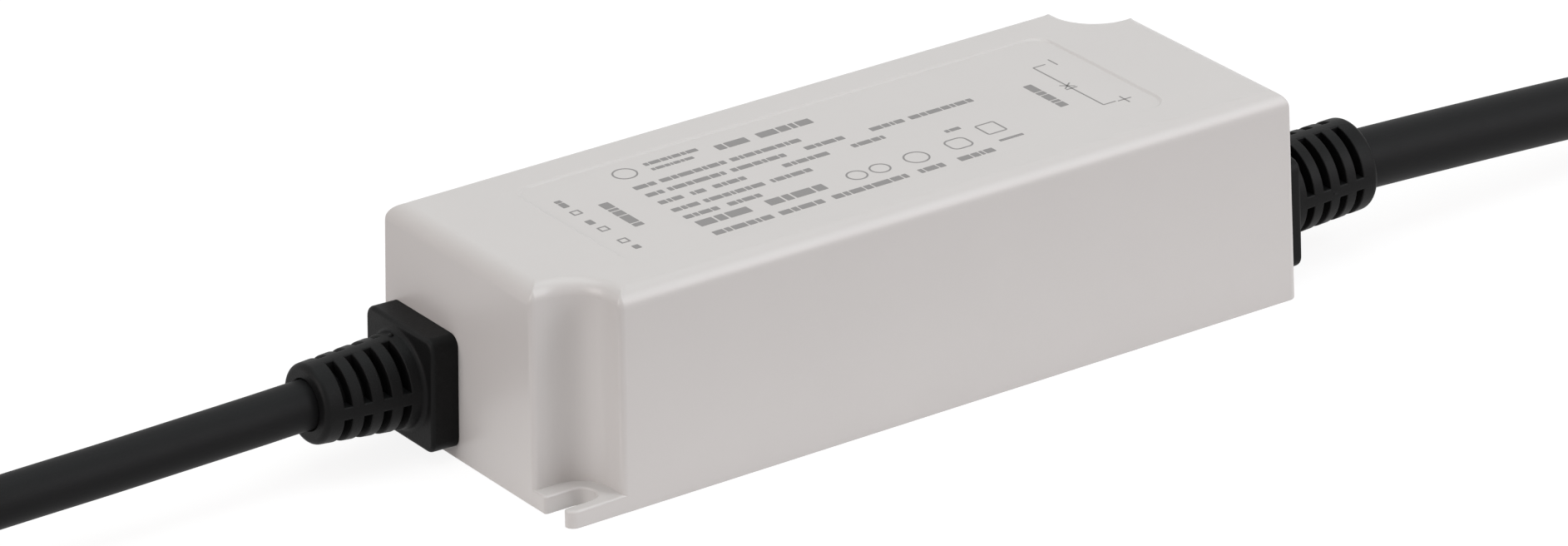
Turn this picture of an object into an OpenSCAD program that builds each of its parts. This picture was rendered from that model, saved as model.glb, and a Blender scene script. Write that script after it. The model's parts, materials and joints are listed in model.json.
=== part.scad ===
/* [Housing] */
// Length of the housing at its base
case_l = 140; // [134:1:170]
// Width of the housing at its base
case_w = 53; // [52:0.5:60]
// Height of the housing
case_h = 36; // [35.5:0.5:42]
// How far each side leans in from the base to the top
draft = 1.1; // [0.4:0.1:1.2]
// Thickness of the side walls just below the rounded top edge
wall = 1.8; // [1.8:0.1:2.4]
// Thickness of the top
top_t = 2.4; // [1.8:0.1:2.8]
// Radius of the upright corners
corner_r = 1.5; // [1:0.1:1.8]
// Radius of the upright edges beside the cut-out corners
notch_edge_r = 1; // [0.6:0.1:1.8]
// Radius of the rounded top edge
edge_r = 3; // [2:0.1:3.4]

/* [Screw ears] */
// Side of the square that is cut out of two corners for a screw head
notch = 9.8; // [9.4:0.1:10.4]
// Radius in the inner corner of each cut-out
notch_r = 6; // [4:0.1:6.4]
// Thickness of the ears
ear_t = 3; // [2.4:0.1:4]
// Rounding of the ears' upper edges
ear_edge = 0.4; // [0.2:0.1:0.6]
// Width of the screw slots
slot_w = 5; // [4.2:0.1:5.4]
// From the long side of the housing to a slot's middle line
slot_side = 4.6; // [4.2:0.1:5]
// From the end of the housing to the centre of a slot's round end
slot_end = 4.9; // [4:0.1:5.4]

/* [Base cover] */
// Thickness of the cover that closes the base
cover_t = 2; // [1.5:0.1:2.5]
// Width of the rim that the walls keep round the cover
cover_rim = 1.2; // [1:0.1:1.5]

/* [Label recess] */
// Length of the shallow recess in the top
label_l = 102; // [90:1:106]
// Width of the recess
label_w = 34.5; // [28:0.5:35]
// From the back of the housing to the recess
label_back = 9.5; // [8.5:0.5:11]
// Corner radius of the recess
label_r = 3.5; // [2:0.5:5]
// Depth of the recess
label_depth = 0.3; // [0.1:0.05:0.5]

/* [Glands] */
// Side of the square flange
flange_w = 19; // [17:0.5:20]
// Thickness of the flange
flange_t = 4.8; // [3:0.1:6]
// Corner radius of the flange
flange_r = 2; // [1.2:0.1:3]
// Rounding of the flange's outer edges
flange_edge = 0.7; // [0.3:0.1:1]
// Number of slots along each strain relief
relief_slots = 4; // [3:1:6]
// Width of each slot
relief_slot_w = 1.4; // [1:0.1:1.8]
// Rubber left between two slots
relief_web = 2; // [1.4:0.1:2.6]
// Plain length between the flange and the first slot
root_collar = 2.4; // [1.5:0.1:4]
// Plain length past the last slot
end_collar = 3.2; // [2:0.1:4]
// Rounding of the relief's end
relief_edge = 1; // [0.5:0.1:1.4]
// Width of the four ribs that run along a relief
rib_w = 2.1; // [2:0.1:3.5]
// Rubber left round the cable at the bottom of a slot
sleeve_t = 0.75; // [0.5:0.05:1]
// Diameter of the neck that passes through the wall
neck_d = 13; // [12.6:0.1:14]
// Diameter of the collar behind the wall
collar_d = 16; // [15:0.5:17]
// Thickness of the collar
collar_t = 2.5; // [1.5:0.1:3]

/* [Input cable] */
// Diameter of the input cable
input_d = 8; // [7:0.1:9]
// Diameter of the input relief at the flange
input_root_d = 15.6; // [15:0.1:17]
// Diameter of the input relief at its end
input_tip_d = 13; // [12.8:0.1:15]
// From the back of the housing to the middle of the input flange
input_back = 12.5; // [12:0.1:16]
// Height of the middle of the input flange
input_z = 11.4; // [11.3:0.1:13]
// How far the input relief sits above the middle of its flange
input_rise = 0.1; // [0:0.05:0.5]
// Diameter of one insulated core of the input cable
input_core_d = 2.6; // [2.2:0.1:2.7]

/* [Output cable] */
// Diameter of the output cable
output_d = 10.1; // [8:0.1:10.4]
// Diameter of the output relief at the flange
output_root_d = 16.1; // [15:0.1:17]
// Diameter of the output relief at its end
output_tip_d = 15.6; // [14:0.1:16]
// From the front of the housing to the middle of the output flange
output_front = 14.2; // [13:0.1:16]
// Height of the middle of the output flange
output_z = 11.7; // [11.3:0.1:13]
// How far the output relief sits above the middle of its flange
output_rise = 0.65; // [0:0.05:0.8]
// Diameter of one insulated core of the output cable
output_core_d = 3.4; // [2.8:0.1:3.5]

/* [Stripped ends] */
// Length of insulated core past a cable's jacket
core_l = 25; // [15:1:30]
// Length of tinned wire past a core's insulation
tip_l = 10; // [6:1:12]
// Wire diameter as a share of its core's diameter
tip_share = 0.5; // [0.4:0.05:0.6]

/* [Circuit board] */
// Thickness of the board
board_t = 1.6; // [1.2:0.1:2]
// Height of the board's underside
board_z = 5; // [4.8:0.1:5.4]
// From the inside of a long wall to the board
board_side = 0.7; // [0.5:0.1:1]
// From the inside of an end wall to the board
board_end = 11.2; // [11:0.1:12.4]
// Length at each end of the board that is kept for the leads
lead_room = 5; // [4.8:0.1:5.4]
// Diameter of a soldered pin
pin_d = 0.8; // [0.6:0.1:1]
// How far a pin stands out below the board
pin_out = 1.2; // [0.8:0.1:1.6]

/* [Input parts] */
// Diameter of the fuse
fuse_d = 5.2; // [4.5:0.1:6]
// Length of the fuse
fuse_l = 20; // [18:0.5:21]
// Diameter of the varistor
varistor_d = 10; // [8:0.5:11]
// Thickness of the varistor
varistor_t = 4.5; // [3.5:0.1:5]
// Diameter of the thermistor
thermistor_d = 9; // [7:0.5:10]
// Thickness of the thermistor
thermistor_t = 4.2; // [3.5:0.1:5]
// Width of the line filter capacitor, along its row of parts
x_cap_l = 18; // [16:0.5:19]
// Thickness of the line filter capacitor
x_cap_t = 7.4; // [7:0.1:9]
// Height of the line filter capacitor
x_cap_h = 14; // [12:0.5:17]
// Outer diameter of the line choke's core
choke_d = 18; // [16:0.5:19]
// Inner diameter of the line choke's core
choke_bore = 10; // [9.5:0.1:11]
// Thickness of the line choke's core
choke_t = 7; // [6:0.1:9]
// Thickness of the wire wound on a choke
winding_t = 1.8; // [1.2:0.1:2]
// Width of the bridge rectifier
bridge_l = 15; // [13:0.5:16]
// Thickness of the bridge rectifier
bridge_t = 4; // [3:0.1:4.5]
// Height of the bridge rectifier
bridge_h = 11; // [9:0.5:13]
// Diameter of the bulk capacitor
bulk_d = 16; // [14:0.5:17]
// Height of the bulk capacitor
bulk_h = 23; // [20:0.5:24]
// Diameter of the interference capacitors
y_cap_d = 8; // [6:0.5:9]
// Thickness of the interference capacitors
y_cap_t = 3.5; // [3:0.1:4]

/* [Transformer] */
// Length of the ferrite core
ferrite_l = 26; // [24:0.5:27]
// Width of the ferrite core
ferrite_w = 28; // [27:0.5:30]
// Height of the ferrite core
ferrite_t = 8; // [7:0.5:9]
// Width of the core's outer legs
ferrite_leg = 4; // [3.5:0.1:4.5]
// Height of the wound coil
coil_h = 18; // [16:0.5:19]
// Wall of the bobbin
bobbin_t = 1.2; // [0.9:0.1:1.4]
// Height of the bobbin's pin rails
rail_h = 3; // [2.5:0.1:3.5]

/* [Heat sinks] */
// Length of a heat sink
sink_l = 24; // [20:0.5:26]
// Height of a heat sink
sink_h = 22; // [20:0.5:23]
// Thickness of its sheet
sink_t = 1.6; // [1.2:0.1:2]
// Width of the flange folded along its top
sink_fold = 6; // [4:0.5:7]
// From the edge of the board to a heat sink
sink_edge = 1; // [0.8:0.1:1.4]
// Diameter of the screws that hold the power semiconductors
screw_d = 3; // [2.5:0.1:3.2]

/* [Output parts] */
// Diameter of the output capacitors
out_cap_d = 10; // [8:0.5:10.5]
// Height of the output capacitors
out_cap_h = 20; // [16:0.5:24]
// Outer diameter of the output choke's core
out_choke_d = 12; // [10:0.5:13]
// Inner diameter of the output choke's core
out_choke_bore = 6.6; // [6:0.1:7.4]
// Thickness of the output choke's core
out_choke_t = 4.6; // [4:0.1:5]
// Thickness of the wire wound on the output choke
out_winding_t = 1.6; // [1.2:0.1:1.7]
// Diameter of the auxiliary capacitor
aux_cap_d = 6.3; // [5:0.1:7]
// Height of the auxiliary capacitor
aux_cap_h = 11; // [9:0.5:14]

/* [Fits] */
// Gap between pieces that seat on each other
seat_gap = 0.05; // [0.04:0.01:0.08]

/* [Hidden] */

// Colours that more than one piece has
brown = [0.42, 0.24, 0.13];
blue = [0.16, 0.36, 0.72];
green = [0.45, 0.66, 0.20];
red = [0.70, 0.12, 0.10];
black = [0.10, 0.10, 0.10];
jacket_black = [0.08, 0.08, 0.08];
tinned = [0.80, 0.80, 0.80];
coating_blue = [0.16, 0.33, 0.62];
ferrite_grey = [0.22, 0.22, 0.23];
copper = [0.72, 0.40, 0.20];
moulding_black = [0.14, 0.14, 0.15];
sleeve_blue = [0.13, 0.13, 0.20];
aluminium = [0.75, 0.76, 0.78];

// Smallest radius left where an inset outline has eaten up a corner
tiny_r = 0.3;
// Radius of the upright corners inside the housing
inner_r = 1;
// Angle by which the walls lean
lean = atan(draft / case_h);
// Steps along the arcs of the housing's outline
corner_steps = 4;
notch_steps = 9;
edge_steps = 6;

// How far the walls have leaned in at height z
function lean_in(z) = draft * z / case_h;

// The hollow's walls are upright, this far inside the outline at the base
hollow_inset = wall + draft;
// Thickness of the walls at height z
function wall_at(z) = hollow_inset - lean_in(z);

// Points on an arc
function arc(centre, r, from, to, steps) =
    [for (i = [0:steps]) let (a = from + (to - from) * i / steps) centre + r * [cos(a), sin(a)]];

// Outline of the housing, moved in by inset: one plain corner and one cut-out
// corner, and the same again turned by half a turn. Its outward corners keep a
// radius of at least least_r.
function half_outline(inset, least_r) =
    let (hx = case_l / 2 - inset, hy = case_w / 2 - inset,
        r = max(corner_r - inset, least_r), e = max(notch_edge_r - inset, least_r),
        hollow_r = min(notch_r + inset, notch - e - tiny_r))
    concat(arc([hx - r, r - hy], r, -90, 0, corner_steps),
        arc([hx - e, hy - notch - e], e, 0, 90, corner_steps),
        arc([hx - notch + hollow_r, hy - notch + hollow_r], hollow_r, 270, 180, notch_steps),
        arc([hx - notch - e, hy - e], e, 0, 90, corner_steps));
function outline(inset, least_r = tiny_r) =
    let (half = half_outline(inset, least_r)) concat(half, [for (p = half) -p]);
function inner_outline(inset) = outline(inset, inner_r);

function mean(points) = [for (p = points) 1] * points / len(points);

// Solid between rings of points that all have the same count: each ring is a
// height and an outline. Each end is a fan round the middle of its ring.
module loft(rings) {
    sides = len(rings[0][1]);
    last = len(rings) - 1;
    middles = [for (i = [0, last]) let (m = mean(rings[i][1])) [m.x, m.y, rings[i][0]]];
    low = (last + 1) * sides;
    polyhedron(
        points = concat([for (ring = rings) for (p = ring[1]) [p.x, p.y, ring[0]]], middles),
        faces = concat(
            [for (k = [0:sides - 1]) [k, (k + 1) % sides, low]],
            [for (k = [0:sides - 1]) [last * sides + (k + 1) % sides, last * sides + k, low + 1]],
            [for (i = [0:last - 1]) for (k = [0:sides - 1]) let (n = (k + 1) % sides)
                [i * sides + k, (i + 1) * sides + k, (i + 1) * sides + n, i * sides + n]]));
}

function unit(v) = v / norm(v);
function way(points, i) =
    let (last = len(points) - 1)
    i == 0 ? unit(points[1] - points[0])
    : i == last ? unit(points[last] - points[last - 1])
    : unit(unit(points[i + 1] - points[i]) + unit(points[i] - points[i - 1]));

// Round tube swept along points, with flat ends square to its course
module tube(points, d, sides) {
    last = len(points) - 1;
    polyhedron(
        points = [for (i = [0:last]) let (t = way(points, i), u = unit(cross(t, [0, 1, 0])), v = cross(t, u))
            for (k = [0:sides - 1]) points[i] + d / 2 * (cos(360 * k / sides) * u + sin(360 * k / sides) * v)],
        faces = concat(
            [[for (k = [0:sides - 1]) k]],
            [[for (k = [sides - 1:-1:0]) last * sides + k]],
            [for (i = [0:last - 1]) for (k = [0:sides - 1])
                let (a = i * sides + k, b = i * sides + (k + 1) % sides)
                for (face = [[a, a + sides, b + sides], [a, b + sides, b]]) face]));
}

// Flat shape with true round corners
module rounded_rect(l, w, r) {
    square([l - 2 * r, w], center = true);
    square([l, w - 2 * r], center = true);
    for (x = [-1, 1], y = [-1, 1]) translate([x * (l / 2 - r), y * (w / 2 - r)]) circle(r, $fn = 32);
}

// Height of the hollow's roof
roof_z = case_h - top_t;
// Middle of the label recess across the housing
label_y = case_w / 2 - label_back - label_w / 2;
// How far an ear's block reaches past its cut-out, into the wall
ear_reach = notch + corner_r + tiny_r;
ear_steps = 4;
// How far an ear's block stays inside the housing's own side faces
ear_inset = 0.03;
// Spare length of a tool that cuts right through
past = 1;

// The rounded top edge is a ring for each step. The last step goes on twice as
// far, and the first ring starts below the base, so that both ends are trimmed flat.
function edge_ring(i) =
    let (a = 90 * i / edge_steps, z = case_h - edge_r + edge_r * sin(a))
    [z, lean_in(z) + edge_r * (1 - cos(a))];
last_ring = 2 * edge_ring(edge_steps) - edge_ring(edge_steps - 1);
body_rings = concat([[-past, outline(lean_in(-past))]],
    [for (i = [0:edge_steps - 1]) let (ring = edge_ring(i)) [ring[0], outline(ring[1])]],
    [[last_ring[0], outline(last_ring[1])]]);

// Block that fills a cut-out corner up to the ear's height
function ear_outline(inset) =
    let (x0 = -case_l / 2, y0 = -case_w / 2)
    concat([[x0 + inset, y0 + ear_reach]],
        arc([x0 + corner_r + inset, y0 + corner_r + inset], corner_r, 180, 270, corner_steps),
        [[x0 + ear_reach, y0 + inset], [x0 + ear_reach, y0 + ear_reach]]);
ear_rings = concat([[-past / 2, ear_outline(ear_inset)]],
    [for (i = [0:ear_steps]) let (a = 90 * i / ear_steps, z = ear_t - ear_edge + ear_edge * sin(a))
        [z, ear_outline(ear_inset + lean_in(z) + ear_edge * (1 - cos(a)))]]);

// Open screw slot of the front left ear
module screw_slot() {
    translate([slot_end - case_l / 2, slot_side - case_w / 2, -past]) {
        cylinder(d = slot_w, h = ear_t + 2 * past, $fn = 48);
        translate([-slot_end - past, -slot_w / 2, 0]) cube([slot_end + past, slot_w, ear_t + 2 * past]);
    }
}

// Places something made along +Z on an end wall, with its local -X upwards.
// side is 1 for the right end and -1 for the left end.
module on_end(side, y, z) {
    translate([side * (case_l / 2 - lean_in(z)), y, z])
        rotate([0, 0, side < 0 ? 180 : 0]) rotate([0, 90 - lean, 0]) children();
}
// The point at depth s on the axis of such a piece
function end_point(side, y, z, rise, s) = [
    side * (case_l / 2 - lean_in(z) + s * cos(lean) - rise * sin(lean)),
    y,
    z + s * sin(lean) + rise * cos(lean)];

input_y = case_w / 2 - input_back;
output_y = output_front - case_w / 2;

module neck_hole(rise) {
    translate([-rise, 0, -hollow_inset - past])
        cylinder(d = neck_d + 2 * seat_gap, h = hollow_inset + 2 * past, $fn = 64);
}

// Trims the housing flat at the base and at the top
module trim() {
    size = [case_l + 2 * past, case_w + 2 * past, 2 * past];
    for (z = [-past, case_h + past]) translate([0, 0, z]) cube(size, center = true);
}

// The hollow, and the wider seat of the base cover below it
module hollow() {
    translate([0, 0, -past]) linear_extrude(roof_z + past) polygon(inner_outline(hollow_inset));
    translate([0, 0, -past]) linear_extrude(cover_t + past) polygon(inner_outline(cover_rim));
}

// One-piece moulded housing: leaning walls, rounded top edge, two cut-out
// corners with slotted ears, and a shallow recess in the top
module housing() {
    color([0.80, 0.79, 0.77]) difference() {
        union() {
            loft(body_rings);
            loft(ear_rings);
            rotate([0, 0, 180]) loft(ear_rings);
        }
        trim();
        hollow();
        screw_slot();
        rotate([0, 0, 180]) screw_slot();
        on_end(-1, input_y, input_z) neck_hole(input_rise);
        on_end(1, output_y, output_z) neck_hole(output_rise);
        translate([0, label_y, case_h - label_depth])
            linear_extrude(label_depth + past) rounded_rect(label_l, label_w, label_r);
    }
}

// Flat plate that closes the base, flush with the rim
module base_cover() {
    color([0.74, 0.73, 0.71]) linear_extrude(cover_t - seat_gap) polygon(inner_outline(cover_rim + seat_gap));
}

// Square flange with rounded corners and edges
flange_steps = 4;
function flange_outline(inset) =
    let (h = flange_w / 2 - inset, r = max(flange_r - inset, tiny_r), c = h - r)
    concat(arc([c, -c], r, -90, 0, flange_steps), arc([c, c], r, 0, 90, flange_steps),
        arc([-c, c], r, 90, 180, flange_steps), arc([-c, -c], r, 180, 270, flange_steps));
flange_rings = concat([[seat_gap, flange_outline(0)]],
    [for (i = [0:flange_steps]) let (a = 90 * i / flange_steps)
        [flange_t - flange_edge + flange_edge * sin(a), flange_outline(flange_edge * (1 - cos(a)))]]);

relief_l = root_collar + relief_slots * relief_slot_w + (relief_slots - 1) * relief_web + end_collar;
// Depth of the collar's two faces behind the wall's outer face: the collar is
// square to the leaning wall, so its lower edge meets the upright inner face
function collar_front(z) = wall_at(z) + collar_d / 2 * tan(lean) + seat_gap;
function collar_back(z) = collar_front(z) + collar_t;

// Neck, collar behind the wall and tapered relief, as a profile to revolve
function relief_profile(z, root_d, tip_d) =
    let (tip_z = flange_t + relief_l, front = -collar_front(z), back = -collar_back(z))
    concat([[0, back], [collar_d / 2, back], [collar_d / 2, front],
            [neck_d / 2, front], [neck_d / 2, flange_t / 2], [root_d / 2, flange_t / 2],
            [root_d / 2, flange_t]],
        arc([tip_d / 2 - relief_edge, tip_z - relief_edge], relief_edge, 0, 90, flange_steps),
        [[0, tip_z]]);

// Moulded rubber gland: flange, neck, collar and slotted strain relief
module gland(z, d, root_d, tip_d, rise) {
    color(black) difference() {
        union() {
            loft(flange_rings);
            translate([-rise, 0, 0]) rotate_extrude($fn = 96) polygon(relief_profile(z, root_d, tip_d));
        }
        translate([-rise, 0, -collar_back(z) - past])
            cylinder(d = d + 2 * seat_gap, h = collar_back(z) + flange_t + relief_l + 2 * past, $fn = 64);
        for (i = [0:relief_slots - 1])
            translate([-rise, 0, flange_t + root_collar + i * (relief_slot_w + relief_web)])
                linear_extrude(relief_slot_w) difference() {
                    circle(d = root_d + past, $fn = 96);
                    circle(d = d + 2 * sleeve_t, $fn = 64);
                    square([rib_w, root_d + 2 * past], center = true);
                    square([root_d + 2 * past, rib_w], center = true);
                }
    }
}
module input_gland() {
    on_end(-1, input_y, input_z) gland(input_z, input_d, input_root_d, input_tip_d, input_rise);
}
module output_gland() {
    on_end(1, output_y, output_z) gland(output_z, output_d, output_root_d, output_tip_d, output_rise);
}

// Cables: the inner end lies inside the housing, past the gland's collar.
// A route's steps are the distance out from the relief's end, the distance
// towards the near long side and the height above the base.
cable_inside = 4;
input_steps = [[9, 0, 12], [22, 0, 11.8], [36, 0, 11.6], [51, 0, 11.5], [62, 0.4, 11.1],
    [74, 1.2, 10.1], [86, 2.5, 8.7], [98, 4.1, 7.2], [110, 6.2, 5.7], [122, 8.2, 4.6],
    [134, 10.3, 4], [145, 11.9, 3.9], [155, 13.2, 3.9], [163, 14, 3.9]];
output_steps = [[8, 0, 12.7], [21, 0, 12], [35, 0, 11.2], [49, 0, 10.3], [61, 0.4, 9.4],
    [73, 1.2, 8.4], [85, 2.5, 7.4], [97, 4.1, 6.4], [109, 6.2, 5.6], [121, 8.2, 5.1],
    [133, 10.3, 5], [144, 11.9, 5], [154, 13.2, 5], [163, 14, 5]];
input_exit = end_point(-1, input_y, input_z, input_rise, flange_t + relief_l);
output_exit = end_point(1, output_y, output_z, output_rise, flange_t + relief_l);
input_inner = end_point(-1, input_y, input_z, input_rise, -collar_back(input_z) - cable_inside);
output_inner = end_point(1, output_y, output_z, output_rise, -collar_back(output_z) - cable_inside);
function route(side, inner, exit, steps) =
    concat([inner, exit], [for (s = steps) [exit.x + side * s[0], exit.y - side * s[1], s[2]]]);
input_route = route(-1, input_inner, input_exit, input_steps);
output_route = route(1, output_inner, output_exit, output_steps);

module input_cable() {
    color(jacket_black) tube(input_route, input_d, 12);
}
module output_cable() {
    color(jacket_black) tube(output_route, output_d, 12);
}

// Stripped ends: each core leaves the jacket's end face, spreads sideways
// and comes down to the surface
core_spacing = 0.15;
input_lay = (input_core_d + core_spacing) / sqrt(3);
output_lay = (output_core_d + core_spacing) / 2;
function core_path(points, aside, up, spread, d) =
    let (last = len(points) - 1, start = points[last], t = way(points, last),
        across = unit(cross([0, 0, 1], t)))
    [for (k = [[0, 0], [0.2, 0], [0.5, 0.35], [0.8, 0.85], [1, 1]])
        start + k[0] * core_l * t + (aside + k[1] * spread) * across
        + [0, 0, up + k[1] * (d / 2 + core_spacing - start.z - up)]];
function tip_path(path) =
    let (last = len(path) - 1, t = way(path, last)) [path[last] + seat_gap * t, path[last] + tip_l * [t.x, t.y, 0]];
live_path = core_path(input_route, -input_lay * cos(30), -input_lay / 2, -4, input_core_d);
neutral_path = core_path(input_route, input_lay * cos(30), -input_lay / 2, 4, input_core_d);
earth_path = core_path(input_route, 0, input_lay, 0, input_core_d);
positive_path = core_path(output_route, -output_lay, 0, -3, output_core_d);
negative_path = core_path(output_route, output_lay, 0, 3, output_core_d);

module live_core_end() { color(brown) tube(live_path, input_core_d, 8); }
module neutral_core_end() { color(blue) tube(neutral_path, input_core_d, 8); }
module earth_core_end() { color(green) tube(earth_path, input_core_d, 8); }
module positive_core_end() { color(red) tube(positive_path, output_core_d, 8); }
module negative_core_end() { color(black) tube(negative_path, output_core_d, 8); }
module input_core_tips() {
    color(tinned) for (path = [live_path, neutral_path, earth_path])
        tube(tip_path(path), input_core_d * tip_share, 8);
}
module output_core_tips() {
    color(tinned) for (path = [positive_path, negative_path])
        tube(tip_path(path), output_core_d * tip_share, 8);
}

// Circuit board and the rows of parts along it
board_l = case_l - 2 * (hollow_inset + board_end);
board_w = case_w - 2 * (hollow_inset + board_side);
board_top = board_z + board_t;
row_room = board_l - 2 * lead_room;
fuse_cap_l = 5;
fuse_cap_rise = 0.3;
fuse_lift = 0.8;
choke_row = choke_t + 2 * winding_t;
out_choke_row = out_choke_t + 2 * out_winding_t;
fuse_row = max(fuse_d + 2 * fuse_cap_rise, varistor_t) + 2 * seat_gap;
rows = [fuse_row, x_cap_t, choke_row, bridge_t, bulk_d, ferrite_l, out_cap_d, out_choke_row];
function total(list, count) = count == 0 ? 0 : list[count - 1] + total(list, count - 1);
row_gap = (row_room - total(rows, len(rows))) / (len(rows) + 1);
function row_x(i) = -row_room / 2 + (i + 1) * row_gap + total(rows, i) + rows[i] / 2;

// Across the board, parts stand on fractions of its width, and the output
// capacitors stand next to the rectifier on its heat sink
part_gap = 1;
sink_y = board_w / 2 - sink_edge - sink_t;
moulding_t = 4.5;
power_face = sink_y - seat_gap - moulding_t;
out_cap_step = out_cap_d + part_gap;
fuse_at = [row_x(0), -board_w / 4];
varistor_at = [row_x(0), board_w / 4 + 1];
x_cap_at = [row_x(1), board_w / 4];
thermistor_at = [row_x(1), -board_w / 6];
choke_at = [row_x(2), board_w / 4 - 1];
bridge_at = [row_x(3), board_w / 4];
bulk_at = [row_x(4), board_w / 4 + 0.5];
transformer_at = [row_x(5), 0];
out_cap_at = [row_x(6), power_face - part_gap - (out_cap_step + out_cap_d) / 2];
out_choke_at = [row_x(7), board_w / 6];
y_cap_at = [row_x(2), -board_w / 3];
aux_cap_at = [row_x(2), -board_w / 12 - 2];
chip_at = [row_x(4), -board_w / 8];
opto_size = [5.4, 4.6, 3.4];
opto_at = [row_x(6), part_gap + (opto_size.y - board_w) / 2];
switch_at = [row_x(4), 0];
rectifier_at = [row_x(6), 0];

// Each list gives where the pins of a part pass through the board
function pins_along(at, along, pitch) = [for (s = [-1, 1]) at + s * pitch / 2 * along];
fuse_pitch = fuse_l - fuse_cap_l;
disc_pitch = 5;
bulk_pitch = 7.5;
aux_cap_pitch = 2.5;
out_cap_pitch = 5;
x_cap_margin = 1.5;
bridge_margin = 1.5;
fuse_pins = pins_along(fuse_at, [0, 1], fuse_pitch);
varistor_pins = pins_along(varistor_at, [0, 1], disc_pitch);
thermistor_pins = pins_along(thermistor_at, [0, 1], disc_pitch);
x_cap_pins = pins_along(x_cap_at, [0, 1], x_cap_l - 2 * x_cap_margin);
bulk_pins = pins_along(bulk_at, [0, 1], bulk_pitch);
aux_cap_pins = pins_along(aux_cap_at, [1, 0], aux_cap_pitch);
y_cap_space = 0.6;
y_cap_offsets = [-1, 1] * (y_cap_t + y_cap_space) / 2;
y_cap_pins = [for (o = y_cap_offsets) for (p = pins_along(y_cap_at + [o, 0], [0, 1], disc_pitch)) p];
out_cap_ys = [-1, 1] * out_cap_step / 2;
out_cap_pins = [for (y = out_cap_ys) for (p = pins_along(out_cap_at + [0, y], [0, 1], out_cap_pitch)) p];
bridge_pitch = (bridge_l - 2 * bridge_margin) / 3;
bridge_pins = [for (i = [0:3]) bridge_at + [0, (i - 1.5) * bridge_pitch]];
choke_pins = [for (x = [-1, 1], y = [-1, 1]) choke_at + [x * (choke_t + winding_t) / 2, y * choke_d / 3]];
out_choke_pins = pins_along(out_choke_at, [1, 0], out_choke_t);
power_pitch = 2.54;
pin_setback = 2.4;
power_y = sink_y - seat_gap - pin_setback;
function power_pins(at, side) = [for (i = [-1:1]) [at.x + i * power_pitch, side * power_y]];
switch_pins = power_pins(switch_at, -1);
rectifier_pins = power_pins(rectifier_at, 1);
rail_pitch = 4;
rail_w = 5;
rail_x = (ferrite_l - rail_w) / 2;
transformer_pins = [for (x = [-1, 1], i = [-2:2]) transformer_at + [x * rail_x, i * rail_pitch]];
opto_row = 3.2;
chip_size = [8.6, 3.8, 1.4];
chip_pitch = 1.27;
chip_lead_l = 1.2;
opto_pins = [for (x = [-1, 1], y = [-1, 1]) opto_at + [x * opto_row, y * chip_pitch]];
all_pins = concat(fuse_pins, varistor_pins, thermistor_pins, x_cap_pins, bulk_pins, aux_cap_pins,
    y_cap_pins, out_cap_pins, bridge_pins, choke_pins, out_choke_pins, switch_pins, rectifier_pins,
    transformer_pins, opto_pins);

// Pins from below the board up to height top
module pins(places, top) {
    for (p = places) translate([p.x, p.y, board_z - pin_out])
        cylinder(d = pin_d, h = top - board_z + pin_out, $fn = 16);
}
hole_gap = 0.1;

// Printed circuit board with a hole for every pin
module circuit_board() {
    color([0.13, 0.40, 0.22]) translate([0, 0, board_z]) linear_extrude(board_t) difference() {
        square([board_l, board_w], center = true);
        for (p = all_pins) translate(p) circle(d = pin_d + 2 * hole_gap, $fn = 16);
    }
}

// Inner leads from a cable's end to the board
lead_in = lead_room / 2;
input_pad_pitch = 5;
output_pad_pitch = 6;
input_pads = [for (i = [-1:1]) [lead_in - board_l / 2, input_y + input_pad_pitch * i, board_top + seat_gap]];
output_pads = [for (i = [-1, 1])
    [board_l / 2 - lead_in, output_y + output_pad_pitch / 2 * i, board_top + seat_gap]];
function lead_path(start, side, pad) =
    let (reach = abs(start.x - pad.x))
    [start + [-side * seat_gap, 0, 0], start + [-side * reach * 0.3, 0, 0],
        [pad.x + side * reach * 0.25, (start.y + pad.y) / 2, start.z * 0.6 + pad.z * 0.4 + 0.6],
        [pad.x, pad.y, start.z * 0.35 + pad.z * 0.65], pad];
live_lead_path = lead_path(input_inner + [0, -input_lay * cos(30), -input_lay / 2], -1, input_pads[0]);
neutral_lead_path = lead_path(input_inner + [0, input_lay * cos(30), -input_lay / 2], -1, input_pads[2]);
earth_lead_path = lead_path(input_inner + [0, 0, input_lay], -1, input_pads[1]);
positive_lead_path = lead_path(output_inner + [0, -output_lay, 0], 1, output_pads[0]);
negative_lead_path = lead_path(output_inner + [0, output_lay, 0], 1, output_pads[1]);
inner_share = 0.75;
module live_lead() { color(brown) tube(live_lead_path, input_core_d * inner_share, 8); }
module neutral_lead() { color(blue) tube(neutral_lead_path, input_core_d * inner_share, 8); }
module earth_lead() { color(green) tube(earth_lead_path, input_core_d * inner_share, 8); }
module positive_lead() { color(red) tube(positive_lead_path, output_core_d * inner_share, 8); }
module negative_lead() { color(black) tube(negative_lead_path, output_core_d * inner_share, 8); }

// Glass tube fuse lying across the board, held by its end caps
fuse_z = board_top + fuse_d / 2 + fuse_lift;
module fuse() {
    color([0.82, 0.82, 0.80]) {
        translate([fuse_at.x, fuse_at.y, fuse_z]) rotate([90, 0, 0]) {
            cylinder(d = fuse_d, h = fuse_l, center = true, $fn = 32);
            for (s = [-1, 1]) translate([0, 0, s * fuse_pitch / 2])
                cylinder(d = fuse_d + 2 * fuse_cap_rise, h = fuse_cap_l, center = true, $fn = 32);
        }
        pins(fuse_pins, fuse_z);
    }
}

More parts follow.
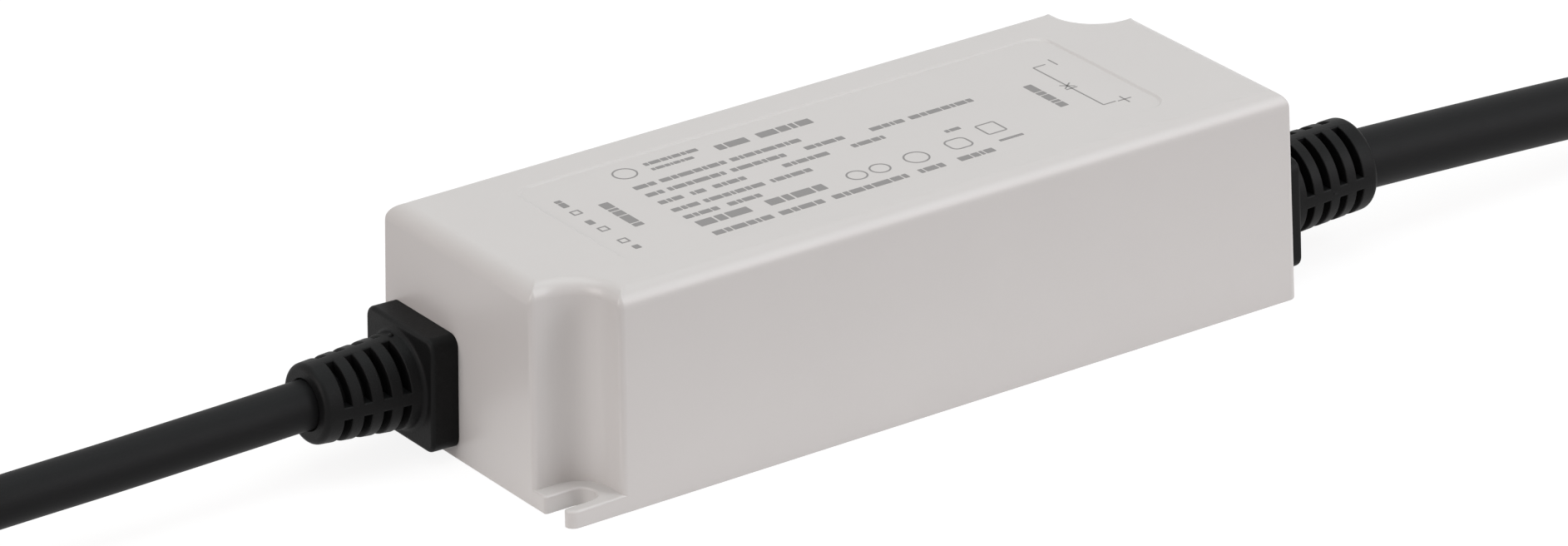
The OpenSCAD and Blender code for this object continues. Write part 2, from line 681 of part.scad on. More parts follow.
// Dipped disc part that stands on two pins, facing along the board
disc_lift = 1.5;
module disc(at, d, t) {
    translate([at.x, at.y, board_top + disc_lift + d / 2]) rotate([0, 90, 0])
        rotate_extrude($fn = 48) difference() {
            union() {
                translate([0, -t / 2]) square([d / 2 - t / 2, t]);
                translate([d / 2 - t / 2, 0]) circle(d = t, $fn = 24);
            }
            translate([-d, -t]) square([d, 2 * t]);
        }
}
module varistor() {
    color(coating_blue) {
        disc(varistor_at, varistor_d, varistor_t);
        pins(varistor_pins, board_top + disc_lift + varistor_d / 2);
    }
}
module thermistor() {
    color([0.20, 0.26, 0.20]) {
        disc(thermistor_at, thermistor_d, thermistor_t);
        pins(thermistor_pins, board_top + disc_lift + thermistor_d / 2);
    }
}
module interference_capacitors() {
    color(coating_blue) for (i = [0, 1]) {
        disc(y_cap_at + [y_cap_offsets[i], 0], y_cap_d, y_cap_t);
        pins([y_cap_pins[2 * i], y_cap_pins[2 * i + 1]], board_top + disc_lift + y_cap_d / 2);
    }
}

// Boxed film capacitor across the line
module line_capacitor() {
    color([0.86, 0.78, 0.30]) {
        translate([x_cap_at.x, x_cap_at.y, board_top + seat_gap])
            linear_extrude(x_cap_h) rounded_rect(x_cap_t, x_cap_l, 0.8);
        pins(x_cap_pins, board_top + 1);
    }
}

// Wound ring that stands on edge: a ferrite core and two banks of wire
module ring_core(at, d, bore, t, wire_t, foot) {
    translate([at.x, at.y, board_top + foot + wire_t + d / 2]) rotate([0, 90, 0])
        rotate_extrude($fn = 64) translate([bore / 2, -t / 2]) square([(d - bore) / 2, t]);
}
module ring_winding(at, d, bore, t, wire_t, foot, sweep) {
    for (side = [0, 1]) translate([at.x, at.y, board_top + foot + wire_t + d / 2]) rotate([0, 90, 0])
        rotate([0, 0, 90 + 180 * side - sweep / 2]) rotate_extrude(angle = sweep, $fn = 64) difference() {
            translate([bore / 2 - wire_t, -t / 2 - wire_t]) square([(d - bore) / 2 + 2 * wire_t, t + 2 * wire_t]);
            translate([bore / 2 - seat_gap, -t / 2 - seat_gap])
                square([(d - bore) / 2 + 2 * seat_gap, t + 2 * seat_gap]);
        }
}
choke_foot = 0.6;
choke_pin_top = 4.2;
bank_sweep = 130;
module line_choke_core() {
    color(ferrite_grey) ring_core(choke_at, choke_d, choke_bore, choke_t, winding_t, choke_foot);
}
module line_choke_winding() {
    color(copper) {
        ring_winding(choke_at, choke_d, choke_bore, choke_t, winding_t, choke_foot, bank_sweep);
        pins(choke_pins, board_top + choke_pin_top);
    }
}
module output_choke_core() {
    color(ferrite_grey)
        ring_core(out_choke_at, out_choke_d, out_choke_bore, out_choke_t, out_winding_t, choke_foot);
}

// The output choke has one long bank that leaves a gap at the top
out_sweep = 300;
module output_choke_winding() {
    color(copper) {
        translate([out_choke_at.x, out_choke_at.y, board_top + choke_foot + out_winding_t + out_choke_d / 2])
            rotate([0, 90, 0]) rotate([0, 0, -out_sweep / 2]) rotate_extrude(angle = out_sweep, $fn = 64)
                difference() {
                    translate([out_choke_bore / 2 - out_winding_t, -out_choke_row / 2])
                        square([(out_choke_d - out_choke_bore) / 2 + 2 * out_winding_t, out_choke_row]);
                    translate([out_choke_bore / 2 - seat_gap, -out_choke_t / 2 - seat_gap])
                        square([(out_choke_d - out_choke_bore) / 2 + 2 * seat_gap, out_choke_t + 2 * seat_gap]);
                }
        pins(out_choke_pins, board_top + choke_foot + out_winding_t / 2);
    }
}

// Flat bridge rectifier with one cut corner, standing on four pins
bridge_lift = 1;
module bridge_rectifier() {
    cut = 2.5;
    color(moulding_black) {
        translate([bridge_at.x - bridge_t / 2, bridge_at.y, board_top + bridge_lift])
            rotate([90, 0, 90])
                linear_extrude(bridge_t) polygon([[-bridge_l / 2, 0], [bridge_l / 2, 0],
                    [bridge_l / 2, bridge_h - cut], [bridge_l / 2 - cut, bridge_h], [-bridge_l / 2, bridge_h]]);
        pins(bridge_pins, board_top + 2 * bridge_lift);
    }
}

// Can capacitor with a rolled groove near its base, standing on two pins
module can(at, d, h, places) {
    groove_z = 2.2;
    groove_r = 0.6;
    rim_r = 0.8;
    translate([at.x, at.y, board_top + seat_gap]) rotate_extrude($fn = 64) difference() {
        union() {
            square([d / 2 - rim_r, h]);
            square([d / 2, h - rim_r]);
            translate([d / 2 - rim_r, h - rim_r]) circle(rim_r, $fn = 24);
        }
        translate([d / 2 + groove_r / 3, groove_z]) circle(groove_r, $fn = 24);
    }
    pins(places, board_top + 1);
}
module bulk_capacitor() {
    color(sleeve_blue) can(bulk_at, bulk_d, bulk_h, bulk_pins);
}
module auxiliary_capacitor() {
    color(sleeve_blue) can(aux_cap_at, aux_cap_d, aux_cap_h, aux_cap_pins);
}
module output_capacitors() {
    color(sleeve_blue) for (i = [0, 1])
        can(out_cap_at + [0, out_cap_ys[i]], out_cap_d, out_cap_h, [out_cap_pins[2 * i], out_cap_pins[2 * i + 1]]);
}

// Transformer: the coil's axis lies along the board, and two ferrite halves
// meet in the middle of the coil
coil_z = board_top + rail_h + coil_h / 2;
window_w = ferrite_w - 2 * ferrite_leg;
centre_leg = 2 * ferrite_leg - 1;
window_l = ferrite_l - 2 * ferrite_leg;
core_gap = 0.1;
module ferrite_half() {
    linear_extrude(ferrite_t, center = true) difference() {
        translate([-ferrite_l / 2, -ferrite_w / 2]) square([(ferrite_l - core_gap) / 2, ferrite_w]);
        for (s = [-1, 1]) translate([-window_l / 2, s * (window_w + centre_leg) / 4 - (window_w - centre_leg) / 4])
            square([ferrite_l, (window_w - centre_leg) / 2]);
    }
}
module transformer_core() {
    color(ferrite_grey) translate([transformer_at.x, transformer_at.y, coil_z])
        for (turn = [0, 180]) rotate([0, 0, turn]) ferrite_half();
}

// Cross section of the bobbin's tube round the centre leg, as [width, height]
tube_in = [centre_leg + 2 * seat_gap, ferrite_t + 2 * seat_gap];
tube_out = tube_in + 2 * [bobbin_t, bobbin_t];
spool_w = window_w - 2 * seat_gap;
// How far the coil stays inside the bobbin's flanges
coil_inset = 0.3;
module frame(outer, inner, l) {
    rotate([90, 0, 90]) linear_extrude(l, center = true) difference() {
        square(outer, center = true);
        square(inner, center = true);
    }
}
module transformer_bobbin() {
    spool_l = window_l - 2 * seat_gap;
    color(moulding_black) {
        translate([transformer_at.x, transformer_at.y, coil_z]) {
            frame(tube_out, tube_in, spool_l);
            for (s = [-1, 1]) translate([s * (spool_l - bobbin_t) / 2, 0, 0])
                frame([spool_w, coil_h], tube_in, bobbin_t);
        }
        for (s = [-1, 1]) translate([transformer_at.x + s * rail_x, transformer_at.y, board_top + seat_gap])
            translate([-rail_w / 2, -spool_w / 2, 0])
                cube([rail_w, spool_w, rail_h + (coil_h - ferrite_t) / 2 - 2 * seat_gap]);
        pins(transformer_pins, board_top + 1);
    }
}
module transformer_winding() {
    color([0.90, 0.76, 0.25]) translate([transformer_at.x, transformer_at.y, coil_z])
        frame([spool_w - 2 * coil_inset, coil_h - 2 * coil_inset], tube_out + 2 * [seat_gap, seat_gap],
            window_l - 2 * (bobbin_t + 2 * seat_gap));
}

// Folded sheet heat sink along one long edge of the board. side is 1 at the
// back and -1 at the front.
tab_z = 4;
moulding_h = 9;
screw_head_t = 2;
screw_head_d = 1.9 * screw_d;
tab_hole_gap = 0.6;
screw_z = tab_z + moulding_h + (screw_head_d + tab_hole_gap) / 2;
// How far a screw's end stands out past the heat sink
sink_clear = 0.6;
module heat_sink(at, side) {
    translate([at.x, 0, board_top + seat_gap]) difference() {
        rotate([90, 0, 90]) linear_extrude(sink_l, center = true) {
            translate([side > 0 ? sink_y : -sink_y - sink_t, 0]) square([sink_t, sink_h]);
            translate([side > 0 ? sink_y + sink_t - sink_fold : -sink_y - sink_t, sink_h - sink_t])
                square([sink_fold, sink_t]);
        }
        translate([0, side * sink_y, screw_z]) rotate([90, 0, 0])
            cylinder(d = screw_d + 2 * seat_gap, h = 4 * sink_t, center = true, $fn = 24);
    }
}
module transistor_heat_sink() { color(aluminium) heat_sink(switch_at, -1); }
module rectifier_heat_sink() { color(aluminium) heat_sink(rectifier_at, 1); }

// Power semiconductor with a metal tab and a moulded body, standing on three
// pins against a heat sink
tab_w = 10;
tab_t = 1.3;
tab_h = screw_z - tab_z + screw_head_d / 2;
tab_hole_d = screw_d + tab_hole_gap;
// How far the moulded body stays clear of the heat sink behind its tab
moulding_step = 0.4;
module power_package(at, side, places) {
    translate([at.x, 0, board_top + tab_z]) {
        difference() {
            translate([-tab_w / 2, side > 0 ? sink_y - seat_gap - tab_t : -sink_y + seat_gap, 0])
                cube([tab_w, tab_t, tab_h]);
            translate([0, side * sink_y, screw_z + seat_gap - tab_z]) rotate([90, 0, 0])
                cylinder(d = tab_hole_d, h = 4 * tab_t, center = true, $fn = 24);
        }
        translate([-tab_w / 2, side > 0 ? sink_y - seat_gap - moulding_t : -sink_y + seat_gap + moulding_step, 0])
            cube([tab_w, moulding_t - moulding_step, moulding_h]);
    }
    pins(places, board_top + tab_z + 1);
}
module switch_transistor() { color(moulding_black) power_package(switch_at, -1, switch_pins); }
module output_rectifier() { color(moulding_black) power_package(rectifier_at, 1, rectifier_pins); }

// Pan head screws, put in from the semiconductors' side
module heat_sink_screws() {
    shank_l = tab_t + 2 * seat_gap + sink_t + sink_clear;
    color([0.78, 0.78, 0.80]) for (place = [[switch_at.x, -1], [rectifier_at.x, 1]])
        translate([place[0], place[1] * (sink_y - 2 * seat_gap - tab_t), board_top + seat_gap + screw_z])
            rotate([place[1] * -90, 0, 0]) {
                cylinder(d = screw_d, h = shank_l, $fn = 24);
                translate([0, 0, -screw_head_t]) cylinder(d = screw_head_d, h = screw_head_t, $fn = 32);
            }
}

// Small moulded packages
opto_lift = 0.4;
module optocoupler() {
    middle_z = board_top + opto_lift + opto_size.z / 2;
    color(moulding_black) {
        translate([opto_at.x, opto_at.y, middle_z]) {
            cube(opto_size, center = true);
            for (s = [-1, 1]) translate([0, s * chip_pitch, 0])
                cube([2 * opto_row + pin_d, pin_d, pin_d / 2], center = true);
        }
        pins(opto_pins, middle_z);
    }
}
module control_chip() {
    lead_h = 0.6;
    lead_w = 0.4;
    lift = 0.1;
    color(moulding_black) translate([chip_at.x, chip_at.y, board_top + seat_gap]) {
        translate([0, 0, lift + chip_size.z / 2]) cube(chip_size, center = true);
        for (i = [-3:3], s = [-1, 1])
            translate([i * chip_pitch, s * (chip_size.y / 2 + chip_lead_l / 3), lead_h / 2])
                cube([lead_w, chip_lead_l, lead_h], center = true);
    }
}

// Potting compound: fills the hollow round the circuit, with a pocket for
// each part that it surrounds
// Room across the board for a heat sink and the package and screw on it
package_room = sink_t + sink_clear + max(moulding_t, tab_t + screw_head_t) + 4 * seat_gap;
module pocket(at, size) {
    translate([at.x - size.x / 2 - seat_gap, at.y - size.y / 2 - seat_gap, board_top])
        cube([size.x + 2 * seat_gap, size.y + 2 * seat_gap, size.z + 2 * seat_gap]);
}
module can_pocket(at, d, h) {
    translate([at.x, at.y, board_top]) cylinder(d = d + 2 * seat_gap, h = h + 2 * seat_gap, $fn = 48);
}
module end_pocket(side, y, z, rise, inner, pads, d, core_d) {
    on_end(side, y, z) translate([-rise, 0, -collar_back(z) - seat_gap])
        cylinder(d = collar_d + 2 * seat_gap, h = collar_back(z), $fn = 48);
    pad_ys = [for (p = pads) p.y];
    low = min(min(pad_ys) - core_d / 2, y - d / 2) - seat_gap;
    high = max(max(pad_ys) + core_d / 2, y + d / 2) + seat_gap;
    near = case_l / 2 - hollow_inset - collar_t;
    far = abs(pads[0].x) - core_d / 2;
    translate([side > 0 ? far : -near, low, board_top])
        cube([near - far, high - low, inner.z + d / 2 + 2 * seat_gap - board_top]);
}
module potting() {
    color([0.30, 0.30, 0.32]) difference() {
        translate([0, 0, cover_t + seat_gap]) linear_extrude(roof_z - cover_t - 2 * seat_gap)
            polygon(inner_outline(hollow_inset + seat_gap));
        translate([0, 0, board_z + board_t / 2]) cube([board_l + 2 * seat_gap, board_w + 2 * seat_gap,
            board_t + 2 * seat_gap], center = true);
        translate([0, 0, board_z - pin_out - seat_gap]) linear_extrude(pin_out + board_t + tab_z + 1)
            for (p = all_pins) translate(p) circle(d = pin_d + 2 * seat_gap, $fn = 16);
        end_pocket(-1, input_y, input_z, input_rise, input_inner, input_pads, input_d, input_core_d);
        end_pocket(1, output_y, output_z, output_rise, output_inner, output_pads, output_d, output_core_d);
        pocket(fuse_at, [fuse_d + 2 * fuse_cap_rise, fuse_l, fuse_d + fuse_cap_rise + fuse_lift]);
        pocket(varistor_at, [varistor_t, varistor_d, varistor_d + disc_lift]);
        pocket(thermistor_at, [thermistor_t, thermistor_d, thermistor_d + disc_lift]);
        pocket(y_cap_at, [2 * y_cap_t + y_cap_space, y_cap_d, y_cap_d + disc_lift]);
        pocket(x_cap_at, [x_cap_t, x_cap_l, x_cap_h]);
        pocket(choke_at, [choke_row, choke_d + 2 * winding_t, choke_d + 2 * winding_t + choke_foot]);
        pocket(bridge_at, [bridge_t, bridge_l, bridge_h + bridge_lift]);
        can_pocket(bulk_at, bulk_d, bulk_h);
        can_pocket(aux_cap_at, aux_cap_d, aux_cap_h);
        for (y = out_cap_ys) can_pocket(out_cap_at + [0, y], out_cap_d, out_cap_h);
        pocket(transformer_at, [ferrite_l, ferrite_w, rail_h + coil_h]);
        pocket(out_choke_at, [out_choke_row, out_choke_d + 2 * out_winding_t,
            out_choke_d + 2 * out_winding_t + choke_foot]);
        pocket(chip_at, [chip_size.x, chip_size.y + 2 * chip_lead_l, 1.2 * chip_size.z]);
        pocket(opto_at, [2 * opto_row + pin_d, opto_size.y, opto_size.z + opto_lift]);
        for (place = [[switch_at.x, -1], [rectifier_at.x, 1]]) {
            pocket([place[0], place[1] * (sink_y + sink_t - sink_fold / 2)], [sink_l, sink_fold, sink_h]);
            pocket([place[0], place[1] * (sink_y + sink_t + sink_clear - package_room / 2)],
                [tab_w, package_room, sink_h]);
        }
    }
}

housing();
base_cover();
potting();
input_gland();
output_gland();
input_cable();
output_cable();
live_lead();
neutral_lead();
earth_lead();
positive_lead();
negative_lead();
live_core_end();
neutral_core_end();
earth_core_end();
positive_core_end();
negative_core_end();
input_core_tips();
output_core_tips();
circuit_board();
fuse();
varistor();
thermistor();
line_capacitor();
line_choke_core();
line_choke_winding();
bridge_rectifier();
bulk_capacitor();
interference_capacitors();
transformer_core();
transformer_bobbin();
transformer_winding();
switch_transistor();
transistor_heat_sink();
output_rectifier();
rectifier_heat_sink();
heat_sink_screws();
output_capacitors();
output_choke_core();
output_choke_winding();
optocoupler();
control_chip();
auxiliary_capacitor();
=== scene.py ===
import json
import logging
import math
from collections.abc import Iterable, Sequence
from dataclasses import dataclass, field
from enum import Enum

import bpy
from mathutils import Matrix, Vector


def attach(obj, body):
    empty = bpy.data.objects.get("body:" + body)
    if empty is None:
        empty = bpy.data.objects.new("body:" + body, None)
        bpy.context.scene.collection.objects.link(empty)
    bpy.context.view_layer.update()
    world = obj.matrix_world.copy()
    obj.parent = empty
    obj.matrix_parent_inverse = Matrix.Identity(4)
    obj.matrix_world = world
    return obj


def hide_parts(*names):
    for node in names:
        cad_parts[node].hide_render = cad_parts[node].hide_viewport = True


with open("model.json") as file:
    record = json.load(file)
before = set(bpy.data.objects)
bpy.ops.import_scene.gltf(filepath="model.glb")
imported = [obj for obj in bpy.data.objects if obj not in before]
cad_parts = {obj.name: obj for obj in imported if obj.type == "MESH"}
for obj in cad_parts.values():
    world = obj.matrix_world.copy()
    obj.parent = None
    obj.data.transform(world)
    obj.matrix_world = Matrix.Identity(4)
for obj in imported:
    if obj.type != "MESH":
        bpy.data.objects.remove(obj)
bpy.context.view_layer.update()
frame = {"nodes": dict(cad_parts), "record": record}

MM = 0.001
BODY = "root"
Pair = tuple[float, float]
Triple = tuple[float, float, float]
log = logging.getLogger("power_supply")


# Finishes


class Pattern(Enum):
    """What the surface of a finish is made of."""

    GRAIN = "fine even grain"
    PEEL = "soft waves of a dipped or moulded skin"
    BRUSH = "fine lines along one way"
    TURNS = "wire laid turn by turn"
    WEAVE = "glass cloth under a lacquer"
    PITS = "pressed and fired powder"


@dataclass(frozen=True)
class Finish:
    """One finish: its colours, its gloss and the relief of its surface."""

    color: Triple
    shade: Triple
    roughness: float = 0.5
    spread: float = 0.06
    pattern: Pattern = Pattern.GRAIN
    size_mm: float = 0.3
    relief_mm: float = 0.004
    mottle_mm: float = 9.0
    metallic: float = 0.0
    coat: float = 0.0
    specular: float = 0.5
    across: Triple = (1.0, 1.0, 1.0)
    coat_roughness: float = 0.12
    mottle_detail: float = 4.0
    peel_detail: float = 1.0
    grain_detail: float = 3.0
    waves_in_unit: float = 3
    wave_distortion: float = 0.6

    def material(self, name: str) -> bpy.types.Material:
        """Builds the node material of this finish.

        Args:
            name: the material's name.

        Returns:
            The new material.
        """
        made = bpy.data.materials.new(name)
        made.use_nodes = True
        nodes, links = made.node_tree.nodes, made.node_tree.links
        shader = nodes["Principled BSDF"]
        shader.inputs["Metallic"].default_value = self.metallic
        shader.inputs["Specular IOR Level"].default_value = self.specular
        shader.inputs["Coat Weight"].default_value = self.coat
        shader.inputs["Coat Roughness"].default_value = self.coat_roughness

        place = nodes.new("ShaderNodeTexCoord")
        stretch = nodes.new("ShaderNodeMapping")
        stretch.inputs["Scale"].default_value = self.across
        links.new(place.outputs["Object"], stretch.inputs["Vector"])

        mottle = nodes.new("ShaderNodeTexNoise")
        mottle.inputs["Scale"].default_value = 1 / (self.mottle_mm * MM)
        mottle.inputs["Detail"].default_value = self.mottle_detail
        links.new(place.outputs["Object"], mottle.inputs["Vector"])
        relief = self._relief(nodes, links, stretch)

        mix = nodes.new("ShaderNodeMix")
        mix.data_type = "RGBA"
        mix.inputs["A"].default_value = (*self.color, 1.0)
        mix.inputs["B"].default_value = (*self.shade, 1.0)
        blend = nodes.new("ShaderNodeMath")
        blend.operation = "MULTIPLY"
        links.new(mottle.outputs["Fac"], blend.inputs[0])
        links.new(relief, blend.inputs[1])
        links.new(blend.outputs["Value"], mix.inputs["Factor"])
        links.new(mix.outputs["Result"], shader.inputs["Base Color"])

        gloss = nodes.new("ShaderNodeMapRange")
        gloss.inputs["To Min"].default_value = self.roughness - self.spread
        gloss.inputs["To Max"].default_value = self.roughness + self.spread
        links.new(mottle.outputs["Fac"], gloss.inputs["Value"])
        links.new(gloss.outputs["Result"], shader.inputs["Roughness"])

        bump = nodes.new("ShaderNodeBump")
        bump.inputs["Distance"].default_value = self.relief_mm * MM
        links.new(relief, bump.inputs["Height"])
        links.new(bump.outputs["Normal"], shader.inputs["Normal"])
        return made

    def _relief(
        self,
        nodes: bpy.types.Nodes,
        links: bpy.types.NodeLinks,
        stretch: bpy.types.Node,
    ) -> bpy.types.NodeSocket:
        """Adds the texture that stands for this finish's pattern.

        Args:
            nodes: the material's nodes.
            links: the material's links.
            stretch: the mapping node that the texture reads.

        Returns:
            The texture's value output, from 0 to 1.
        """
        scale = 1 / (self.size_mm * MM)
        if self.pattern in (Pattern.TURNS, Pattern.WEAVE):
            texture = nodes.new("ShaderNodeTexWave")
            texture.bands_direction = "X" if self.pattern is Pattern.TURNS else "DIAGONAL"
            texture.inputs["Scale"].default_value = scale / self.waves_in_unit
            texture.inputs["Distortion"].default_value = self.wave_distortion
        elif self.pattern is Pattern.PITS:
            texture = nodes.new("ShaderNodeTexVoronoi")
            texture.inputs["Scale"].default_value = scale
            links.new(stretch.outputs["Vector"], texture.inputs["Vector"])
            return texture.outputs["Distance"]
        else:
            detail = self.peel_detail if self.pattern is Pattern.PEEL else self.grain_detail
            texture = nodes.new("ShaderNodeTexNoise")
            texture.inputs["Scale"].default_value = scale
            texture.inputs["Detail"].default_value = detail
        links.new(stretch.outputs["Vector"], texture.inputs["Vector"])
        return texture.outputs["Fac"]


def insulation(color: Triple, shade: Triple) -> Finish:
    """The smooth moulded skin of a core in one colour."""
    return Finish(color, shade, 0.38, pattern=Pattern.PEEL, size_mm=1.2, relief_mm=0.01)


FINISHES: dict[str, Finish] = {
    "housing_plastic": Finish(
        (0.610, 0.600, 0.588), (0.572, 0.562, 0.551), 0.33, 0.03,
        size_mm=0.22, relief_mm=0.006, mottle_mm=14.0),
    "cover_plastic": Finish(
        (0.56, 0.55, 0.53), (0.50, 0.49, 0.47), 0.5, size_mm=0.3, relief_mm=0.008),
    "potting_compound": Finish(
        (0.075, 0.075, 0.085), (0.05, 0.05, 0.06), 0.32,
        pattern=Pattern.PEEL, size_mm=5.0, relief_mm=0.05),
    "black_rubber": Finish(
        (0.0028, 0.0028, 0.0029), (0.0060, 0.0060, 0.0062), 0.50, 0.06,
        size_mm=0.35, relief_mm=0.03, mottle_mm=3.0, specular=0.12),
    "cable_jacket": Finish(
        (0.0040, 0.0040, 0.0043), (0.0080, 0.0080, 0.0085), 0.55, 0.05,
        size_mm=0.3, relief_mm=0.015, mottle_mm=4.0, specular=0.13, across=(0.15, 1.0, 1.0)),
    "brown_insulation": insulation((0.150, 0.052, 0.020), (0.115, 0.040, 0.016)),
    "blue_insulation": insulation((0.022, 0.105, 0.480), (0.018, 0.085, 0.400)),
    "green_insulation": insulation((0.170, 0.400, 0.035), (0.130, 0.330, 0.030)),
    "red_insulation": insulation((0.450, 0.012, 0.010), (0.360, 0.010, 0.008)),
    "black_insulation": insulation((0.018, 0.018, 0.018), (0.012, 0.012, 0.012)),
    "tinned_wire": Finish(
        (0.44, 0.44, 0.45), (0.26, 0.26, 0.27), 0.30,
        pattern=Pattern.BRUSH, size_mm=0.2, relief_mm=0.01, metallic=1.0, across=(0.2, 1.0, 1.0)),
    "board_laminate": Finish(
        (0.018, 0.130, 0.045), (0.012, 0.090, 0.032), 0.28,
        pattern=Pattern.WEAVE, size_mm=0.6, relief_mm=0.01, coat=0.4),
    "nickel_caps": Finish(
        (0.65, 0.64, 0.60), (0.52, 0.51, 0.48), 0.25,
        pattern=Pattern.BRUSH, size_mm=0.3, relief_mm=0.006, metallic=1.0),
    "blue_coating": Finish(
        (0.022, 0.090, 0.330), (0.018, 0.070, 0.260), 0.3,
        pattern=Pattern.PEEL, size_mm=1.5, relief_mm=0.05, coat=0.5),
    "green_coating": Finish(
        (0.032, 0.052, 0.032), (0.024, 0.040, 0.024), 0.34,
        pattern=Pattern.PEEL, size_mm=1.5, relief_mm=0.05, coat=0.4),
    "yellow_case": Finish(
        (0.710, 0.560, 0.075), (0.640, 0.490, 0.060), 0.45, size_mm=0.4, relief_mm=0.01),
    "ferrite": Finish(
        (0.040, 0.040, 0.043), (0.065, 0.065, 0.070), 0.62,
        pattern=Pattern.PITS, size_mm=0.25, relief_mm=0.02),
    "copper_wire": Finish(
        (0.560, 0.180, 0.060), (0.300, 0.085, 0.028), 0.26,
        pattern=Pattern.TURNS, size_mm=0.9, relief_mm=0.2, metallic=0.9, coat=0.3),
    "black_moulding": Finish(
        (0.020, 0.020, 0.022), (0.032, 0.032, 0.034), 0.55, size_mm=0.2, relief_mm=0.01),
    "sleeved_can": Finish(
        (0.016, 0.016, 0.040), (0.022, 0.022, 0.052), 0.25,
        pattern=Pattern.PEEL, size_mm=3.0, relief_mm=0.03, coat=0.5),
    "yellow_tape": Finish(
        (0.790, 0.530, 0.055), (0.700, 0.450, 0.045), 0.35,
        pattern=Pattern.BRUSH, size_mm=1.6, relief_mm=0.03, across=(1.0, 0.1, 0.1)),
    "sheet_aluminium": Finish(
        (0.62, 0.63, 0.65), (0.50, 0.51, 0.53), 0.34,
        pattern=Pattern.BRUSH, size_mm=0.3, relief_mm=0.008, metallic=1.0,
        across=(0.06, 1.0, 1.0)),
    "plated_screw": Finish(
        (0.60, 0.60, 0.62), (0.50, 0.50, 0.52), 0.3,
        pattern=Pattern.BRUSH, size_mm=0.3, relief_mm=0.006, metallic=1.0),
}
PRINT_FINISH = Finish(
    (0.235, 0.232, 0.229), (0.270, 0.266, 0.262), 0.55, size_mm=0.15, relief_mm=0.002)


@dataclass
class Palette:
    """The materials of the part, one for each slot of the record."""

    made: dict[str, bpy.types.Material] = field(default_factory=dict)

    def material(self, slot: str) -> bpy.types.Material:
        """Gives a slot's material, and makes it at first use.

        Args:
            slot: the record's material slot.

        Returns:
            The slot's material.
        """
        if slot not in self.made:
            self.made[slot] = FINISHES[slot].material(slot)
        return self.made[slot]

    def dress(self, piece: bpy.types.Object, slot: str) -> None:
        """Gives a piece the one material of a slot."""
        piece.data.materials.clear()
        piece.data.materials.append(self.material(slot))

    def dress_circuit(self) -> None:
        """Gives each CAD node that stays in view the material of its own slot."""
        slots = {part["node"]: part["material_slot"] for part in frame["record"]["subparts"]}
        for name, node in frame["nodes"].items():
            if not node.hide_render:
                node.material_slots[0].material = self.material(slots[name])
                log.info("%s: CAD node in %s", name, slots[name])


# Making meshes


def arc(centre: Pair, radius: float, start: float, end: float, steps: int) -> list[Pair]:
    """Points on an arc.

    Args:
        centre: the arc's centre.
        radius: its radius.
        start: the angle of the first point, in degrees.
        end: the angle of the last point, in degrees.
        steps: how many steps lie between them.

    Returns:
        The points, first and last included.
    """
    angles = [math.radians(start + (end - start) * i / steps) for i in range(steps + 1)]
    return [(centre[0] + radius * math.cos(a), centre[1] + radius * math.sin(a)) for a in angles]


def circle(radius: float, steps: int) -> list[Pair]:
    """Points once round a circle about the origin."""
    return arc((0.0, 0.0), radius, 0, 360 - 360 / steps, steps - 1)


def rounded_box(length: float, width: float, radius: float, steps: int) -> list[Pair]:
    """Outline of a rectangle with round corners, about the origin.

    Args:
        length: its size along X.
        width: its size along Y.
        radius: the corner radius.
        steps: the steps along each corner.

    Returns:
        The outline's points, anticlockwise.
    """
    x, y = length / 2 - radius, width / 2 - radius
    corners = [(x, -y, -90), (x, y, 0), (-x, y, 90), (-x, -y, 180)]
    return [p for cx, cy, a in corners for p in arc((cx, cy), radius, a, a + 90, steps)]


def rounding(radius: float, steps: int) -> list[Pair]:
    """Profile of an edge that is rounded from a wall over to a face.

    Args:
        radius: its radius.
        steps: how many steps lie between the wall and the face.

    Returns:
        Each point's distance from the face and from the wall.
    """
    turns = [math.radians(90 * i / steps) for i in range(steps + 1)]
    return [(radius * (1 - math.sin(a)), radius * (1 - math.cos(a))) for a in turns]


def turned(points: Iterable[Pair]) -> list[Pair]:
    """The points after half a turn about the origin."""
    return [(-x, -y) for x, y in points]


def carried_on(rings: Sequence[Sequence[Sequence[float]]]) -> list[Vector]:
    """The ring that follows the last two by the same step."""
    return [2 * Vector(p) - Vector(q) for p, q in zip(rings[-1], rings[-2])]


